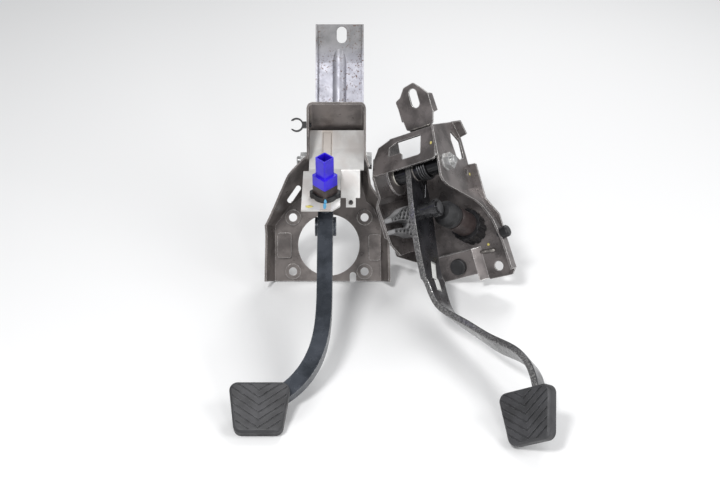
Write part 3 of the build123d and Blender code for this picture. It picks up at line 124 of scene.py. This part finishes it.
class Look:
    """A procedural material, built node by node."""

    def __init__(self, name):
        self.material = bpy.data.materials.new(name)
        self.material.use_nodes = True
        self.tree = self.material.node_tree
        self.shader = self.tree.nodes["Principled BSDF"]
        coordinates = self.tree.nodes.new("ShaderNodeTexCoord")
        self.place = coordinates.outputs["Object"]
        self.turned = coordinates.outputs["Normal"]

    def node(self, kind, **settings):
        made = self.tree.nodes.new(kind)
        for key, value in settings.items():
            setattr(made, key, value)
        return made

    def feed(self, socket, value):
        if isinstance(value, bpy.types.NodeSocket):
            self.tree.links.new(value, socket)
        elif isinstance(value, tuple) and len(value) == 3 and socket.type == "RGBA":
            socket.default_value = (*value, 1.0)
        else:
            socket.default_value = value

    def grain(self, scale, detail=4.0, roughness=0.55):
        made = self.node("ShaderNodeTexNoise")
        self.feed(made.inputs["Vector"], self.place)
        made.inputs["Scale"].default_value = scale
        made.inputs["Detail"].default_value = detail
        made.inputs["Roughness"].default_value = roughness
        return made.outputs["Fac"]

    def steps(self, value, low, high, out_low=0.0, out_high=1.0):
        made = self.node("ShaderNodeMapRange", interpolation_type="SMOOTHSTEP")
        self.feed(made.inputs["Value"], value)
        made.inputs["From Min"].default_value = low
        made.inputs["From Max"].default_value = high
        made.inputs["To Min"].default_value = out_low
        made.inputs["To Max"].default_value = out_high
        return made.outputs["Result"]

    def mix(self, share, first, second):
        made = self.node("ShaderNodeMix", data_type="RGBA")
        self.feed(made.inputs["Factor"], share)
        self.feed(made.inputs[6], first)
        self.feed(made.inputs[7], second)
        return made.outputs[2]

    def combine(self, first, second, operation="ADD"):
        made = self.node("ShaderNodeMath", operation=operation)
        self.feed(made.inputs[0], first)
        self.feed(made.inputs[1], second)
        return made.outputs[0]

    def height(self, direction, low, high):
        """Rises from 0 to 1 between two distances along a direction of the row frame, in metres."""
        made = self.node("ShaderNodeVectorMath", operation="DOT_PRODUCT")
        self.feed(made.inputs[0], self.place)
        made.inputs[1].default_value = direction
        return self.steps(made.outputs["Value"], low, high)

    def facing(self, direction, low, high):
        """Rises from 0 to 1 as a face turns towards a direction of the row frame."""
        made = self.node("ShaderNodeVectorMath", operation="DOT_PRODUCT")
        self.feed(made.inputs[0], self.turned)
        made.inputs[1].default_value = direction
        return self.steps(made.outputs["Value"], low, high)

    def edges(self, radius):
        """1 along sharp outer edges, from how far a rounded normal turns away."""
        bevel = self.node("ShaderNodeBevel", samples=6)
        bevel.inputs["Radius"].default_value = radius
        geometry = self.node("ShaderNodeNewGeometry")
        made = self.node("ShaderNodeVectorMath", operation="DOT_PRODUCT")
        self.feed(made.inputs[0], bevel.outputs["Normal"])
        self.feed(made.inputs[1], geometry.outputs["Normal"])
        return self.steps(made.outputs["Value"], 0.99, 0.82)

    def relief(self, value, distance, strength=0.5, soften=0.0004):
        made = self.node("ShaderNodeBump")
        self.feed(made.inputs["Height"], value)
        made.inputs["Distance"].default_value = distance
        made.inputs["Strength"].default_value = strength
        soft = self.node("ShaderNodeBevel", samples=4)
        soft.inputs["Radius"].default_value = soften
        self.feed(made.inputs["Normal"], soft.outputs["Normal"])
        self.feed(self.shader.inputs["Normal"], made.outputs["Normal"])

    def set(self, **values):
        for key, value in values.items():
            self.feed(self.shader.inputs[key.replace("_", " ")], value)
        return self.material


def coated(name, dark, light, rough, metallic, scuff_and_highlight_tone, scuff_and_highlight_amount=0.8, edge=0.0011):
    """Thin paint or plating on steel: cloudy tone, fine speckle, and sharp edges lightened towards
    bright metal, partly rubbed through and partly a painted highlight on edges and folds.
    """
    look = Look(name)
    tone = look.steps(look.grain(38.0, 6.0), 0.32, 0.68)
    fine = look.grain(900.0, 2.0)
    cloudy = look.combine(tone, look.combine(fine, 0.6, "MULTIPLY"))
    base = look.mix(look.steps(cloudy, 0.2, 1.2), dark, light)
    # Sharp edges turn to a light tone: partly paint rubbed through, partly a painted highlight.
    chips = look.steps(look.grain(520.0, 5.0, 0.65), 0.42, 0.6)
    scuff_and_highlight_share = look.combine(look.combine(chips, 0.35), scuff_and_highlight_amount, "MULTIPLY")
    bare = look.combine(look.edges(edge), scuff_and_highlight_share, "MULTIPLY")
    look.relief(look.combine(fine, look.grain(160.0, 3.0)), 0.00006, 0.35)
    rough_map = look.steps(look.grain(90.0, 5.0), 0.25, 0.75, rough - 0.08, rough + 0.1)
    return look.set(
        Base_Color=look.mix(bare, base, scuff_and_highlight_tone),
        Roughness=rough_map,
        Metallic=look.steps(bare, 0.0, 1.0, metallic, 0.95),
    )


def plated(name, dark, light, rough, rust=0.0, cloud=60.0, metal=0.85):
    """Plated or bare steel: cloudy grey, with specks of rust where asked."""
    look = Look(name)
    tone = look.steps(look.grain(cloud, 7.0, 0.6), 0.3, 0.7)
    base = look.mix(tone, dark, light)
    if rust:
        spots = look.steps(look.grain(430.0, 6.0, 0.7), 0.66 - rust * 0.08, 0.74)
        patches = look.steps(look.grain(55.0, 3.0), 0.45, 0.65)
        base = look.mix(look.combine(spots, patches, "MULTIPLY"), base, (0.12, 0.055, 0.028))
    look.relief(look.grain(700.0, 3.0), 0.00004, 0.4)
    rough_map = look.steps(look.grain(140.0, 5.0), 0.3, 0.7, rough - 0.08, rough + 0.12)
    return look.set(Base_Color=base, Roughness=rough_map, Metallic=metal)


def moulded(name, dark, light, rough, relief=0.00005, coat=0.0, dust=0.0):
    """Moulded plastic or rubber: fine grain, slight tone changes and dust in a fine speckle."""
    look = Look(name)
    base = look.mix(look.steps(look.grain(70.0, 5.0), 0.35, 0.65), dark, light)
    if dust:
        specks = look.steps(look.grain(1500.0, 2.0), 0.68, 0.78)
        base = look.mix(look.combine(specks, dust, "MULTIPLY"), base, (0.32, 0.31, 0.30))
    look.relief(look.grain(1400.0, 3.0), relief, 0.5, 0.0008)
    rough_map = look.steps(look.grain(180.0, 4.0), 0.3, 0.7, rough - 0.06, rough + 0.08)
    look.set(Coat_Weight=coat, Coat_Roughness=0.15)
    return look.set(Base_Color=base, Roughness=rough_map)


# How high up the plate the strap's tip is, in millimetres
strap_tip = 262.0


def strap_look():
    """Zinc with rust specks in two tones: a lighter copy painted as light where the strap faces up,
    and a darker copy painted as shade towards the slotted tip, where it stands steeper.
    """
    look = Look("strap_zinc")
    tone = look.steps(look.grain(75.0, 7.0, 0.62), 0.3, 0.7)
    lit_tone_below = look.mix(tone, (0.36, 0.36, 0.41), (0.47, 0.47, 0.52))
    shaded_tone_near_tip = look.mix(tone, (0.19, 0.19, 0.195), (0.27, 0.265, 0.27))
    # Painted light and shade: the lit tone gives way to the shaded one over the 30 mm below the tip.
    top = brake.at(0, strap_tip, 0).dot(brake.v)
    share = look.height(brake.v, top - 0.030, top + 0.004)
    base = look.mix(share, lit_tone_below, shaded_tone_near_tip)
    spots = look.steps(look.grain(480.0, 5.0, 0.7), 0.555, 0.62)
    patches = look.steps(look.grain(48.0, 3.0), 0.38, 0.60)
    foot = look.combine(1.0, look.height(brake.v, top - 0.105, top - 0.045), "SUBTRACT")
    specks = look.combine(spots, look.combine(patches, foot, "MAXIMUM"), "MULTIPLY")
    base = look.mix(specks, base, (0.10, 0.045, 0.025))
    stain = look.combine(foot, look.steps(look.grain(90.0, 4.0), 0.40, 0.62), "MULTIPLY")
    near_foot = look.combine(1.0, look.height(brake.v, top - 0.092, top - 0.072), "SUBTRACT")
    stain = look.combine(stain, look.combine(near_foot, 0.6, "MULTIPLY"), "MULTIPLY")
    base = look.mix(stain, base, (0.30, 0.17, 0.10))
    look.relief(look.grain(600.0, 3.0), 0.00005, 0.4)
    rough_map = look.steps(look.grain(120.0, 5.0), 0.3, 0.7, 0.42, 0.56)
    return look.set(Base_Color=base, Roughness=rough_map, Metallic=0.55)


# The bead pressed in the switch's shelf: its place across, in millimetres, and how far from there
# its painted shade ends, in metres
bead_middle = -0.5
bead_sides = (0.0050, 0.0062)


def switch_bracket_look():
    """Bright zinc with a faint heat tint; the pressed bead's faces painted a darker beige as shade,
    with painted shadow along its edges.
    """
    look = Look("bright_zinc")
    tone = look.steps(look.grain(60.0, 7.0, 0.6), 0.3, 0.7)
    base = look.mix(tone, (0.68, 0.67, 0.65), (0.82, 0.81, 0.79))
    hue = look.steps(look.grain(30.0, 3.0), 0.45, 0.62)
    base = look.mix(look.combine(hue, 0.55, "MULTIPLY"), base, (0.56, 0.51, 0.48))
    middle = brake.at(bead_middle, 0, 0).dot(brake.x)
    inner, outer = bead_sides
    left = look.height(brake.x, middle - outer, middle - inner)
    right = look.combine(1.0, look.height(brake.x, middle + inner, middle + outer), "SUBTRACT")
    between = look.combine(left, right, "MULTIPLY")
    # Painted shade: within the bead, faces not turned up the plate take a darker beige.
    bead = look.combine(between, look.facing(brake.v, 0.9, 0.8), "MULTIPLY")
    base = look.mix(look.combine(bead, 0.55, "MULTIPLY"), base, (0.62, 0.54, 0.47))
    # Painted shadow: dark along the bead's sharp edges.
    bead_painted_shadow = look.combine(bead, look.edges(0.0012), "MULTIPLY")
    base = look.mix(look.combine(bead_painted_shadow, 0.8, "MULTIPLY"), base, (0.20, 0.17, 0.15))
    look.relief(look.grain(700.0, 3.0), 0.00004, 0.4)
    rough_map = look.steps(look.grain(140.0, 5.0), 0.3, 0.7, 0.32, 0.5)
    return look.set(Base_Color=base, Roughness=rough_map, Metallic=0.3)


def arm_look():
    """Gloss black paint on the clutch arm, chipped to bright speckled steel along its edges; faces
    turned out from the plate are lightened, partly as rubbed bare steel and partly as painted
    highlight along the bend.
    """
    look = Look("clutch_arm_paint")
    tone = look.steps(look.grain(60.0, 4.0), 0.35, 0.65)
    base = look.mix(tone, (0.012, 0.012, 0.014), (0.03, 0.03, 0.034))
    chips = look.steps(look.grain(650.0, 6.0, 0.7), 0.40, 0.56)
    rubbed = look.steps(look.grain(560.0, 6.0, 0.7), 0.46, 0.60, 0.12, 0.7)
    # Faces turned out from the plate are lightened: partly rubbed steel, partly a painted highlight
    # along the S-bend.
    front_scuff_and_highlight = look.combine(look.facing(clutch.n, 0.45, 0.8), rubbed, "MULTIPLY")
    bare = look.combine(look.combine(look.edges(0.0012), chips, "MULTIPLY"), front_scuff_and_highlight, "MAXIMUM")
    look.relief(look.grain(260.0, 4.0), 0.00006, 0.35, 0.0006)
    return look.set(
        Base_Color=look.mix(bare, base, (0.50, 0.49, 0.48)),
        Roughness=look.steps(look.grain(110.0, 5.0), 0.3, 0.7, 0.22, 0.4),
        Metallic=look.steps(bare, 0.0, 1.0, 0.1, 0.9),
        Coat_Weight=0.35,
        Coat_Roughness=0.12,
    )


def pad_look():
    """Black rubber pad, satin and paler where shoes have rubbed its ribs."""
    look = Look("pad_black_rubber")
    tone = look.steps(look.grain(45.0, 5.0), 0.35, 0.65)
    base = look.mix(tone, (0.030, 0.030, 0.032), (0.052, 0.052, 0.056))
    uneven = look.steps(look.grain(210.0, 5.0), 0.35, 0.65)
    rubbed = look.combine(look.edges(0.0009), uneven, "MULTIPLY")
    look.relief(look.grain(1300.0, 4.0), 0.00009, 0.6)
    return look.set(
        Base_Color=look.mix(look.combine(rubbed, 0.7, "MULTIPLY"), base, (0.19, 0.19, 0.20)),
        Roughness=look.steps(look.grain(100.0, 4.0), 0.3, 0.7, 0.42, 0.62),
    )


painted = coated(
    "painted_sheet", (0.100, 0.088, 0.084), (0.200, 0.178, 0.169), 0.34, 0.30, (0.66, 0.64, 0.62), 0.9
)
# The clutch sheets' broader, stronger light edges are painted highlight along their folds and cut
# edges, on top of rubbed paint.
clutch_sheet_paint_and_highlights = coated(
    "clutch_sheet",
    (0.092, 0.083, 0.081),
    (0.205, 0.184, 0.180),
    0.30,
    0.42,
    (0.80, 0.78, 0.76),
    1.7,
    0.0017,
)
# The brake arm's blue-grey tones are lighter than plain black paint, partly as painted sheen for the
# highlight along the arm.
brake_arm_paint_and_sheen = coated(
    "brake_arm_paint", (0.026, 0.031, 0.039), (0.060, 0.068, 0.083), 0.24, 0.4, (0.40, 0.41, 0.43), 1.0
)
hub_paint = coated(
    "hub_black", (0.010, 0.010, 0.011), (0.024, 0.024, 0.026), 0.22, 0.3, (0.40, 0.40, 0.39), 0.7
)

# For each plated or bare metal: its dark and light tones, roughness and the rest
metal_tones = {
    "fastener_zinc": ((0.40, 0.40, 0.40), (0.62, 0.62, 0.61), 0.34, {"rust": 0.4, "cloud": 150.0}),
    "bare_steel": ((0.28, 0.28, 0.29), (0.46, 0.46, 0.47), 0.30, {"rust": 0.3, "cloud": 110.0}),
    "spring_wire": ((0.04, 0.04, 0.042), (0.10, 0.10, 0.105), 0.34, {"rust": 0.5, "cloud": 200.0}),
    "dark_steel": (
        (0.045, 0.045, 0.048),
        (0.085, 0.085, 0.09),
        0.24,
        {"rust": 0.2, "cloud": 130.0, "metal": 0.7},
    ),
    "tin_blade": ((0.55, 0.53, 0.48), (0.72, 0.70, 0.65), 0.30, {"cloud": 200.0}),
    "weld_bead": ((0.14, 0.13, 0.125), (0.34, 0.32, 0.30), 0.42, {"rust": 0.8, "cloud": 300.0}),
}
metals = {
    name: plated(name, dark, light, rough, **rest)
    for name, (dark, light, rough, rest) in metal_tones.items()
}

# The same for plastics, rubber, paper and the paint of the marks
moulded_tones = {
    "dark_plastic": ((0.030, 0.020, 0.019), (0.055, 0.040, 0.038), 0.42, {"coat": 0.15, "dust": 0.3}),
    "black_plastic": ((0.008, 0.008, 0.009), (0.016, 0.016, 0.018), 0.36, {"dust": 0.12}),
    "blue_plastic": ((0.020, 0.006, 0.52), (0.036, 0.012, 0.74), 0.34, {"coat": 0.2}),
    "grey_plastic": ((0.24, 0.24, 0.245), (0.36, 0.36, 0.365), 0.48, {"dust": 0.3}),
    "bush_plastic": ((0.50, 0.48, 0.42), (0.64, 0.62, 0.56), 0.50, {}),
    "black_rubber": (
        (0.010, 0.010, 0.011),
        (0.022, 0.022, 0.024),
        0.52,
        {"relief": 0.00009, "dust": 0.3},
    ),
    "blank_label": ((0.66, 0.66, 0.64), (0.76, 0.76, 0.74), 0.45, {}),
    "yellow_mark": ((0.66, 0.56, 0.14), (0.78, 0.70, 0.26), 0.45, {"relief": 0.0001}),
    "blue_mark": ((0.08, 0.34, 0.58), (0.14, 0.44, 0.70), 0.45, {"relief": 0.0001}),
}
plastics = {
    name: moulded(name, dark, light, rough, **rest)
    for name, (dark, light, rough, rest) in moulded_tones.items()
}

looks = {
    painted: ("brake_bracket",),
    clutch_sheet_paint_and_highlights: (
        "clutch_base_plate",
        "clutch_left_wall",
        "clutch_right_wall",
        "clutch_box_frame",
        "clutch_upper_bracket",
    ),
    strap_look(): ("brake_upper_strap",),
    switch_bracket_look(): ("brake_switch_bracket",),
    metals["fastener_zinc"]: (
        "brake_pivot_bolt",
        "brake_pivot_nut",
        "clutch_pivot_bolt",
        "clutch_pivot_nut",
    ),
    metals["bare_steel"]: (
        "brake_pivot_sleeve",
        "brake_hub_tube",
        "brake_pad_plate",
        "clutch_pivot_sleeve",
        "clutch_pad_plate",
    ),
    metals["dark_steel"]: ("clutch_rod_pin", "clutch_pushrod"),
    hub_paint: ("clutch_hub_tube",),
    brake_arm_paint_and_sheen: ("brake_arm",),
    arm_look(): ("clutch_arm",),
    pad_look(): ("brake_pad_rubber", "clutch_pad_rubber"),
    plastics["black_rubber"]: ("brake_stop_button", "clutch_stop_bumper"),
    plastics["bush_plastic"]: ("brake_pivot_bushes", "clutch_pivot_bushes"),
    plastics["blue_plastic"]: ("switch_connector",),
    plastics["dark_plastic"]: ("switch_body", "clutch_master_barrel"),
    plastics["black_plastic"]: (
        "switch_lock_ring",
        "cable_clip",
        "clutch_master_collar",
        "wall_plug",
    ),
    plastics["grey_plastic"]: ("switch_plunger", "clutch_fork"),
    metals["tin_blade"]: ("switch_terminals",),
}
for material, names in looks.items():
    for name in names:
        nodes[name].data.materials.clear()
        nodes[name].data.materials.append(material)

# Copies of CAD shapes that take the place of their nodes, in a material of their own


def bending(name, node, material):
    """A copy of a CAD node in its own material; the node itself is hidden."""
    piece = bpy.data.objects.new(name, nodes[node].data.copy())
    bpy.context.scene.collection.objects.link(piece)
    piece.data.materials.clear()
    piece.data.materials.append(material)
    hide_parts(node)
    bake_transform(piece)
    return piece


# Helpers for the small pieces


def finish_piece(name, mesh, material, body):
    """Turns a built mesh into a smooth piece of one material that rides a body."""
    piece_mesh = bpy.data.meshes.new(name)
    bmesh.ops.recalc_face_normals(mesh, faces=mesh.faces)
    mesh.to_mesh(piece_mesh)
    mesh.free()
    for face in piece_mesh.polygons:
        face.use_smooth = True
    piece_mesh.materials.append(material)
    piece = bpy.data.objects.new(name, piece_mesh)
    bpy.context.scene.collection.objects.link(piece)
    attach(piece, body)
    return piece


def tube_mesh(points, radii, sides, flat, lift):
    """A closed tube along the points; flat squashes its section along lift."""
    made = bmesh.new()
    rings = []
    up = lift.normalized()
    for index, point in enumerate(points):
        before = points[max(index - 1, 0)]
        after = points[min(index + 1, len(points) - 1)]
        along = (after - before).normalized()
        side = along.cross(up).normalized()
        over = side.cross(along).normalized()
        ring = []
        for step in range(sides):
            angle = 2 * math.pi * step / sides
            offset = side * math.cos(angle) + over * math.sin(angle) * flat
            ring.append(made.verts.new(point + offset * radii[index]))
        rings.append(ring)
    for first, second in zip(rings, rings[1:]):
        for step in range(sides):
            after = (step + 1) % sides
            made.faces.new((first[step], first[after], second[after], second[step]))
    made.faces.new(rings[0])
    made.faces.new(list(reversed(rings[-1])))
    return made


# Weld beads: rings to a bead's width, the turn of the ripple from ring to ring and the lumps' scale
bead_step = 0.28
bead_ripple = 1.9
bead_lumps = 900


def weld(name, unit, corners, width, body, out=None):
    """A weld bead along straight runs between places on a unit, with the ripples of its pools."""
    points = [unit.at(*corner) for corner in corners]
    path = []
    for first, second in zip(points, points[1:]):
        count = max(3, round((second - first).length / (bead_step * width * mm)))
        path += [first.lerp(second, step / count) for step in range(count)]
    path.append(points[-1])
    radii = []
    for index, point in enumerate(path):
        ripple = 0.5 + 0.5 * math.sin(index * bead_ripple)
        lump = noise.noise(point * bead_lumps)
        end = min(1.0, (min(index, len(path) - 1 - index) + 0.8) / 3.0)
        radii.append(width * mm * 0.5 * (0.86 + 0.12 * ripple + 0.22 * lump) * math.sqrt(end))
    made = tube_mesh(path, radii, 10, 0.8, out or unit.n)
    return finish_piece(name, made, metals["weld_bead"], body)


def ring_weld(name, centre, axis, radius, width, body):
    """A weld bead round a tube."""
    side = axis.orthogonal().normalized()
    over = axis.cross(side).normalized()
    count = max(12, round(2 * math.pi * radius / (bead_step * width)))
    path = []
    radii = []
    for index in range(count + 1):
        angle = 2 * math.pi * index / count
        point = centre + (side * math.cos(angle) + over * math.sin(angle)) * radius * mm
        path.append(point)
        ripple = math.sin(index * bead_ripple)
        lump = noise.noise(point * bead_lumps)
        radii.append(width * mm * 0.5 * (0.88 + 0.12 * ripple + 0.2 * lump))
    made = tube_mesh(path, radii, 8, 1.0, axis)
    return finish_piece(name, made, metals["weld_bead"], body)


def thread(name, start, axis, radius, length, pitch, body):
    """Rolled thread on a bolt end: one ridge wound along a helix."""
    side = axis.orthogonal().normalized()
    over = axis.cross(side).normalized()
    made = bmesh.new()
    sides = 28
    turns = length / pitch
    rings = []
    count = round(turns * sides)
    for index in range(count + 1):
        angle = 2 * math.pi * index / sides
        radial = side * math.cos(angle) + over * math.sin(angle)
        centre = start + axis * (pitch * index / sides * mm)
        fade = min(1.0, index / sides * 1.5, (count - index) / sides * 1.5)
        crest = 0.62 * fade
        ring = []
        for across, up in ((-0.48, -0.35), (-0.12, crest), (0.12, crest), (0.48, -0.35)):
            out = radial * ((radius + up * pitch * 0.5) * mm)
            ring.append(made.verts.new(centre + axis * (across * pitch * mm) + out))
        rings.append(ring)
    for first, second in zip(rings, rings[1:]):
        for step in range(3):
            made.faces.new((first[step], first[step + 1], second[step + 1], second[step]))
        made.faces.new((first[3], first[0], second[0], second[3]))
    made.faces.new(rings[0])
    made.faces.new(list(reversed(rings[-1])))
    return finish_piece(name, made, metals["fastener_zinc"], body)


# Marks: cells to a side, how far a ray looks, the largest step in one cell and half the thickness
mark_cells = 14
mark_reach = 0.2
mark_step = 0.003
mark_thick = 0.00009
surfaces = {}


def surface(node):
    """The faces of a CAD node, ready for rays."""
    if node not in surfaces:
        mesh = nodes[node].data
        corners = [vertex.co.copy() for vertex in mesh.vertices]
        faces = [tuple(face.vertices) for face in mesh.polygons]
        surfaces[node] = BVHTree.FromPolygons(corners, faces)
    return surfaces[node]


def mark(name, node, start, toward, across, size, material, body, ragged=0.0):
    """A thin patch of paint or paper laid on a node's surface, seen from start towards it."""
    made = bmesh.new()
    toward = toward.normalized()
    across = (across - toward * across.dot(toward)).normalized()
    along = toward.cross(across).normalized()
    half_width, half_height = size[0] / 2 * mm, size[1] / 2 * mm
    grid = {}
    for column in range(mark_cells + 1):
        for row in range(mark_cells + 1):
            u, w = column / mark_cells * 2 - 1, row / mark_cells * 2 - 1
            edge = 1.0
            if ragged:
                u, w = u * math.sqrt(1 - w * w / 2), w * math.sqrt(1 - u * u / 2)
                edge = 1 + ragged * noise.noise(Vector((u * 2.3, w * 2.3, len(name))))
            origin = start + across * (u * half_width * edge) + along * (w * half_height * edge)
            hit = surface(node).ray_cast(origin, toward, mark_reach)[0]
            if hit is not None:
                grid[column, row] = hit
    top, under, used = {}, {}, {}
    for column in range(mark_cells):
        for row in range(mark_cells):
            corners = [(column, row), (column + 1, row), (column + 1, row + 1), (column, row + 1)]
            if not all(corner in grid for corner in corners):
                continue
            depths = [grid[corner].dot(toward) for corner in corners]
            if max(depths) - min(depths) > mark_step:
                continue
            for corner in corners:
                if corner not in top:
                    top[corner] = made.verts.new(grid[corner] - toward * mark_thick)
                    under[corner] = made.verts.new(grid[corner] + toward * mark_thick)
            made.faces.new([top[corner] for corner in corners])
            made.faces.new([under[corner] for corner in reversed(corners)])
            for pair in zip(corners, corners[1:] + corners[:1]):
                side = frozenset(pair)
                used[side] = used.get(side, 0) + 1
    for pair, count in used.items():
        if count == 1:
            first, second = tuple(pair)
            made.faces.new((top[first], top[second], under[second], under[first]))
    return finish_piece(name, made, material, body)


# Return springs and boot

brake_pivot = Vector(joints["brake_swing"]["pos_m"])
clutch_pivot = Vector(joints["clutch_swing"]["pos_m"])

# Two distances below the pivot, in metres, for the ends of the springs; the places made from them are
# not used
spring_bend = (0.004, 0.030)
for name, unit, pivot in (("brake", brake, brake_pivot), ("clutch", clutch, clutch_pivot)):
    start, end = [pivot - unit.v * distance for distance in spring_bend]
    bending(
        f"{name}_spring_wire",
        f"{name}_return_spring",
        metals["spring_wire"],
    )

# The boot: a copy of the CAD shape in black rubber, riding the root
boot = bpy.data.objects.new("master_boot", nodes["clutch_boot"].data.copy())
bpy.context.scene.collection.objects.link(boot)
boot.data.materials.clear()
boot.data.materials.append(plastics["black_rubber"])
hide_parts("clutch_boot")
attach(boot, "root")
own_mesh(boot)

# Welds


def reach(node, axis):
    """How far a node reaches along an axis, in metres: its lowest and highest distance."""
    along = [vertex.co.dot(axis) for vertex in nodes[node].data.vertices]
    return min(along), max(along)


hood_roof = 151.0
hood_rise = 0.52
strap_sides = (-13.3, 38.9)
seam_ends = (41.0, 51.0)
seam_lift = 0.6
for side, x in enumerate(strap_sides):
    low, high = [(x, hood_roof + hood_rise * n + seam_lift, n) for n in seam_ends]
    weld(f"strap_weld_{side}", brake, (low, high), 3.4, "root", brake.v)
arch_run = ((27, 170.7, 40.9), (39, 170.5, 41.0), (51, 170.7, 40.9))
weld("arch_weld", clutch, arch_run, 3.6, "root", clutch.v)
weld("frame_weld", clutch, ((60.4, 161, 57.0), (60.4, 149, 65.4)), 3.2, "root")
weld("foot_weld", clutch, ((49, 22.2, 0.9), (58, 21.2, 1.2), (67, 20.6, 0.9)), 5.2, "root")

brake_arm_sides = (-9.3, 7.3)
low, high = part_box("brake_hub_tube")
brake_hub_radius = (high.z - low.z) / 2 / mm
for side, x in enumerate(brake_arm_sides):
    centre = brake.at(x, brake_pivot_place[1], brake_pivot_place[2])
    ring_weld(f"brake_hub_weld_{side}", centre, brake.x, brake_hub_radius, 2.6, "brake_pedal")
clutch_arm_sides = (20.3, 27.7)
clutch_hub_radius = 10.05
for side, x in enumerate(clutch_arm_sides):
    centre = clutch.at(x, clutch_pivot_place[1], clutch_pivot_place[2])
    ring_weld(f"clutch_hub_weld_{side}", centre, clutch.x, clutch_hub_radius, 2.4, "clutch_pedal")

# Thread on the bolt ends beyond the nuts

thread_radius = 4.75
thread_pitch = 1.25
thread_end = 1.2
shortest_thread = 2.0
for unit, name, pivot in ((brake, "brake", brake_pivot), (clutch, "clutch", clutch_pivot)):
    nut_low, nut_high = reach(f"{name}_pivot_nut", unit.x)
    bolt_low, bolt_high = reach(f"{name}_pivot_bolt", unit.x)
    centre = pivot.dot(unit.x)
    if nut_high > centre:
        start, way, length = nut_high, unit.x, bolt_high - nut_high
    else:
        start, way, length = nut_low, -unit.x, nut_low - bolt_low
    if length > shortest_thread * mm:
        foot = pivot + unit.x * (start - centre)
        long = length / mm - thread_end
        thread(f"{name}_thread", foot, way, thread_radius, long, thread_pitch, "root")

# Paint marks and the blank label

shelf_down = Vector(joints["plunger_slide"]["axis"]).normalized()
above_shelf = 30.0
mark(
    "yellow_mark",
    "brake_switch_bracket",
    brake.at(-17.0, 79.0, 121.5) - shelf_down * above_shelf * mm,
    shelf_down,
    brake.x,
    (7.5, 4.2),
    plastics["yellow_mark"],
    "root",
    0.35,
)
mark(
    "blue_stripe",
    "brake_switch_bracket",
    brake.at(-1.2, 80.0, 121.0) - shelf_down * above_shelf * mm,
    shelf_down,
    brake.x,
    (3.2, 11.0),
    plastics["blue_mark"],
    "root",
    0.15,
)
mark(
    "blue_stripe_ring",
    "switch_lock_ring",
    brake.at(-0.6, 84.0, 130.0) + brake.n * above_shelf * mm,
    -brake.n,
    brake.x,
    (3.0, 7.0),
    plastics["blue_mark"],
    "root",
    0.15,
)
label_way = (clutch.n * 13.4 - clutch.v * 31.8).normalized()
mark(
    "blank_label",
    "clutch_arm",
    clutch.at(60.0, 12.5, 84.5),
    -clutch.x,
    clutch.x.cross(label_way),
    (9.5, 33.0),
    plastics["blank_label"],
    "clutch_pedal",
)
dots = (
    ("foot_dot", "clutch_base_plate", (60.0, 28.0, 30.0), -clutch.n, clutch.x, (3.0, 3.0)),
    ("wall_dot", "clutch_right_wall", (90.0, 108.0, 4.0), -clutch.x, clutch.n, (3.4, 3.4)),
    ("frame_dot", "clutch_box_frame", (56.5, 150.0, 95.0), -clutch.n, clutch.x, (2.6, 3.2)),
)
for name, node, place, toward, across, size in dots:
    start = clutch.at(*place)
    paint = plastics["yellow_mark"]
    mark(name, node, start, toward, across, size, paint, "root", 0.3)

# Lamps, world and floor

world = bpy.data.worlds.new("world")
bpy.context.scene.world = world
world.use_nodes = True
background = world.node_tree.nodes["Background"]
background.inputs["Color"].default_value = (0.93, 0.94, 0.96, 1.0)
background.inputs["Strength"].default_value = 0.42


def lamp(name, place, target, size, power):
    """A round soft lamp that looks at its target."""
    data = bpy.data.lights.new(name, "AREA")
    data.shape = "DISK"
    data.size = size
    data.energy = power
    made = bpy.data.objects.new(name, data)
    bpy.context.scene.collection.objects.link(made)
    made.location = place
    made.rotation_mode = "QUATERNION"
    made.rotation_quaternion = (Vector(target) - Vector(place)).to_track_quat("-Z", "Y")


lamp("key", (-0.45, -0.80, 1.30), (0.0, 0.0, 0.1), 0.32, 12.0)
lamp("fill", (0.9, -0.5, 0.9), (0.0, 0.0, 0.1), 0.7, 5.0)
lamp("rim", (0.25, 1.0, 1.1), (0.0, 0.0, 0.12), 0.5, 6.0)
lamp("flash", (0.30, -1.25, 0.35), (0.0, 0.0, 0.12), 0.2, 4.0)

floor_look = bpy.data.materials.new("floor")
floor_look.use_nodes = True
floor_tree = floor_look.node_tree
floor_shader = floor_tree.nodes["Principled BSDF"]
floor_shader.inputs["Roughness"].default_value = 0.9
floor_shader.inputs["Specular IOR Level"].default_value = 0.1
light_path = floor_tree.nodes.new("ShaderNodeLightPath")
seen = light_path.outputs["Is Camera Ray"]
for ray in ("Is Glossy Ray", "Is Transmission Ray"):
    either = floor_tree.nodes.new("ShaderNodeMath")
    either.operation = "MAXIMUM"
    floor_tree.links.new(seen, either.inputs[0])
    floor_tree.links.new(light_path.outputs[ray], either.inputs[1])
    seen = either.outputs[0]
floor_tone = floor_tree.nodes.new("ShaderNodeMix")
floor_tone.data_type = "RGBA"
floor_tree.links.new(seen, floor_tone.inputs["Factor"])
floor_tone.inputs[6].default_value = (0.42, 0.42, 0.42, 1.0)
floor_tone.inputs[7].default_value = (0.90, 0.90, 0.90, 1.0)
floor_tree.links.new(floor_tone.outputs[2], floor_shader.inputs["Base Color"])
floor_mesh = bpy.data.meshes.new("floor")
far = 30.0
floor_mesh.from_pydata(
    [(-far, -far, 0), (far, -far, 0), (far, far, 0), (-far, far, 0)],
    [],
    [(0, 1, 2, 3)],
)
floor_mesh.materials.append(floor_look)
floor = bpy.data.objects.new("floor", floor_mesh)
floor_drop = 0.0002
floor.location.z = -floor_drop
bpy.context.scene.collection.objects.link(floor)

bpy.context.scene.view_settings.view_transform = "Standard"
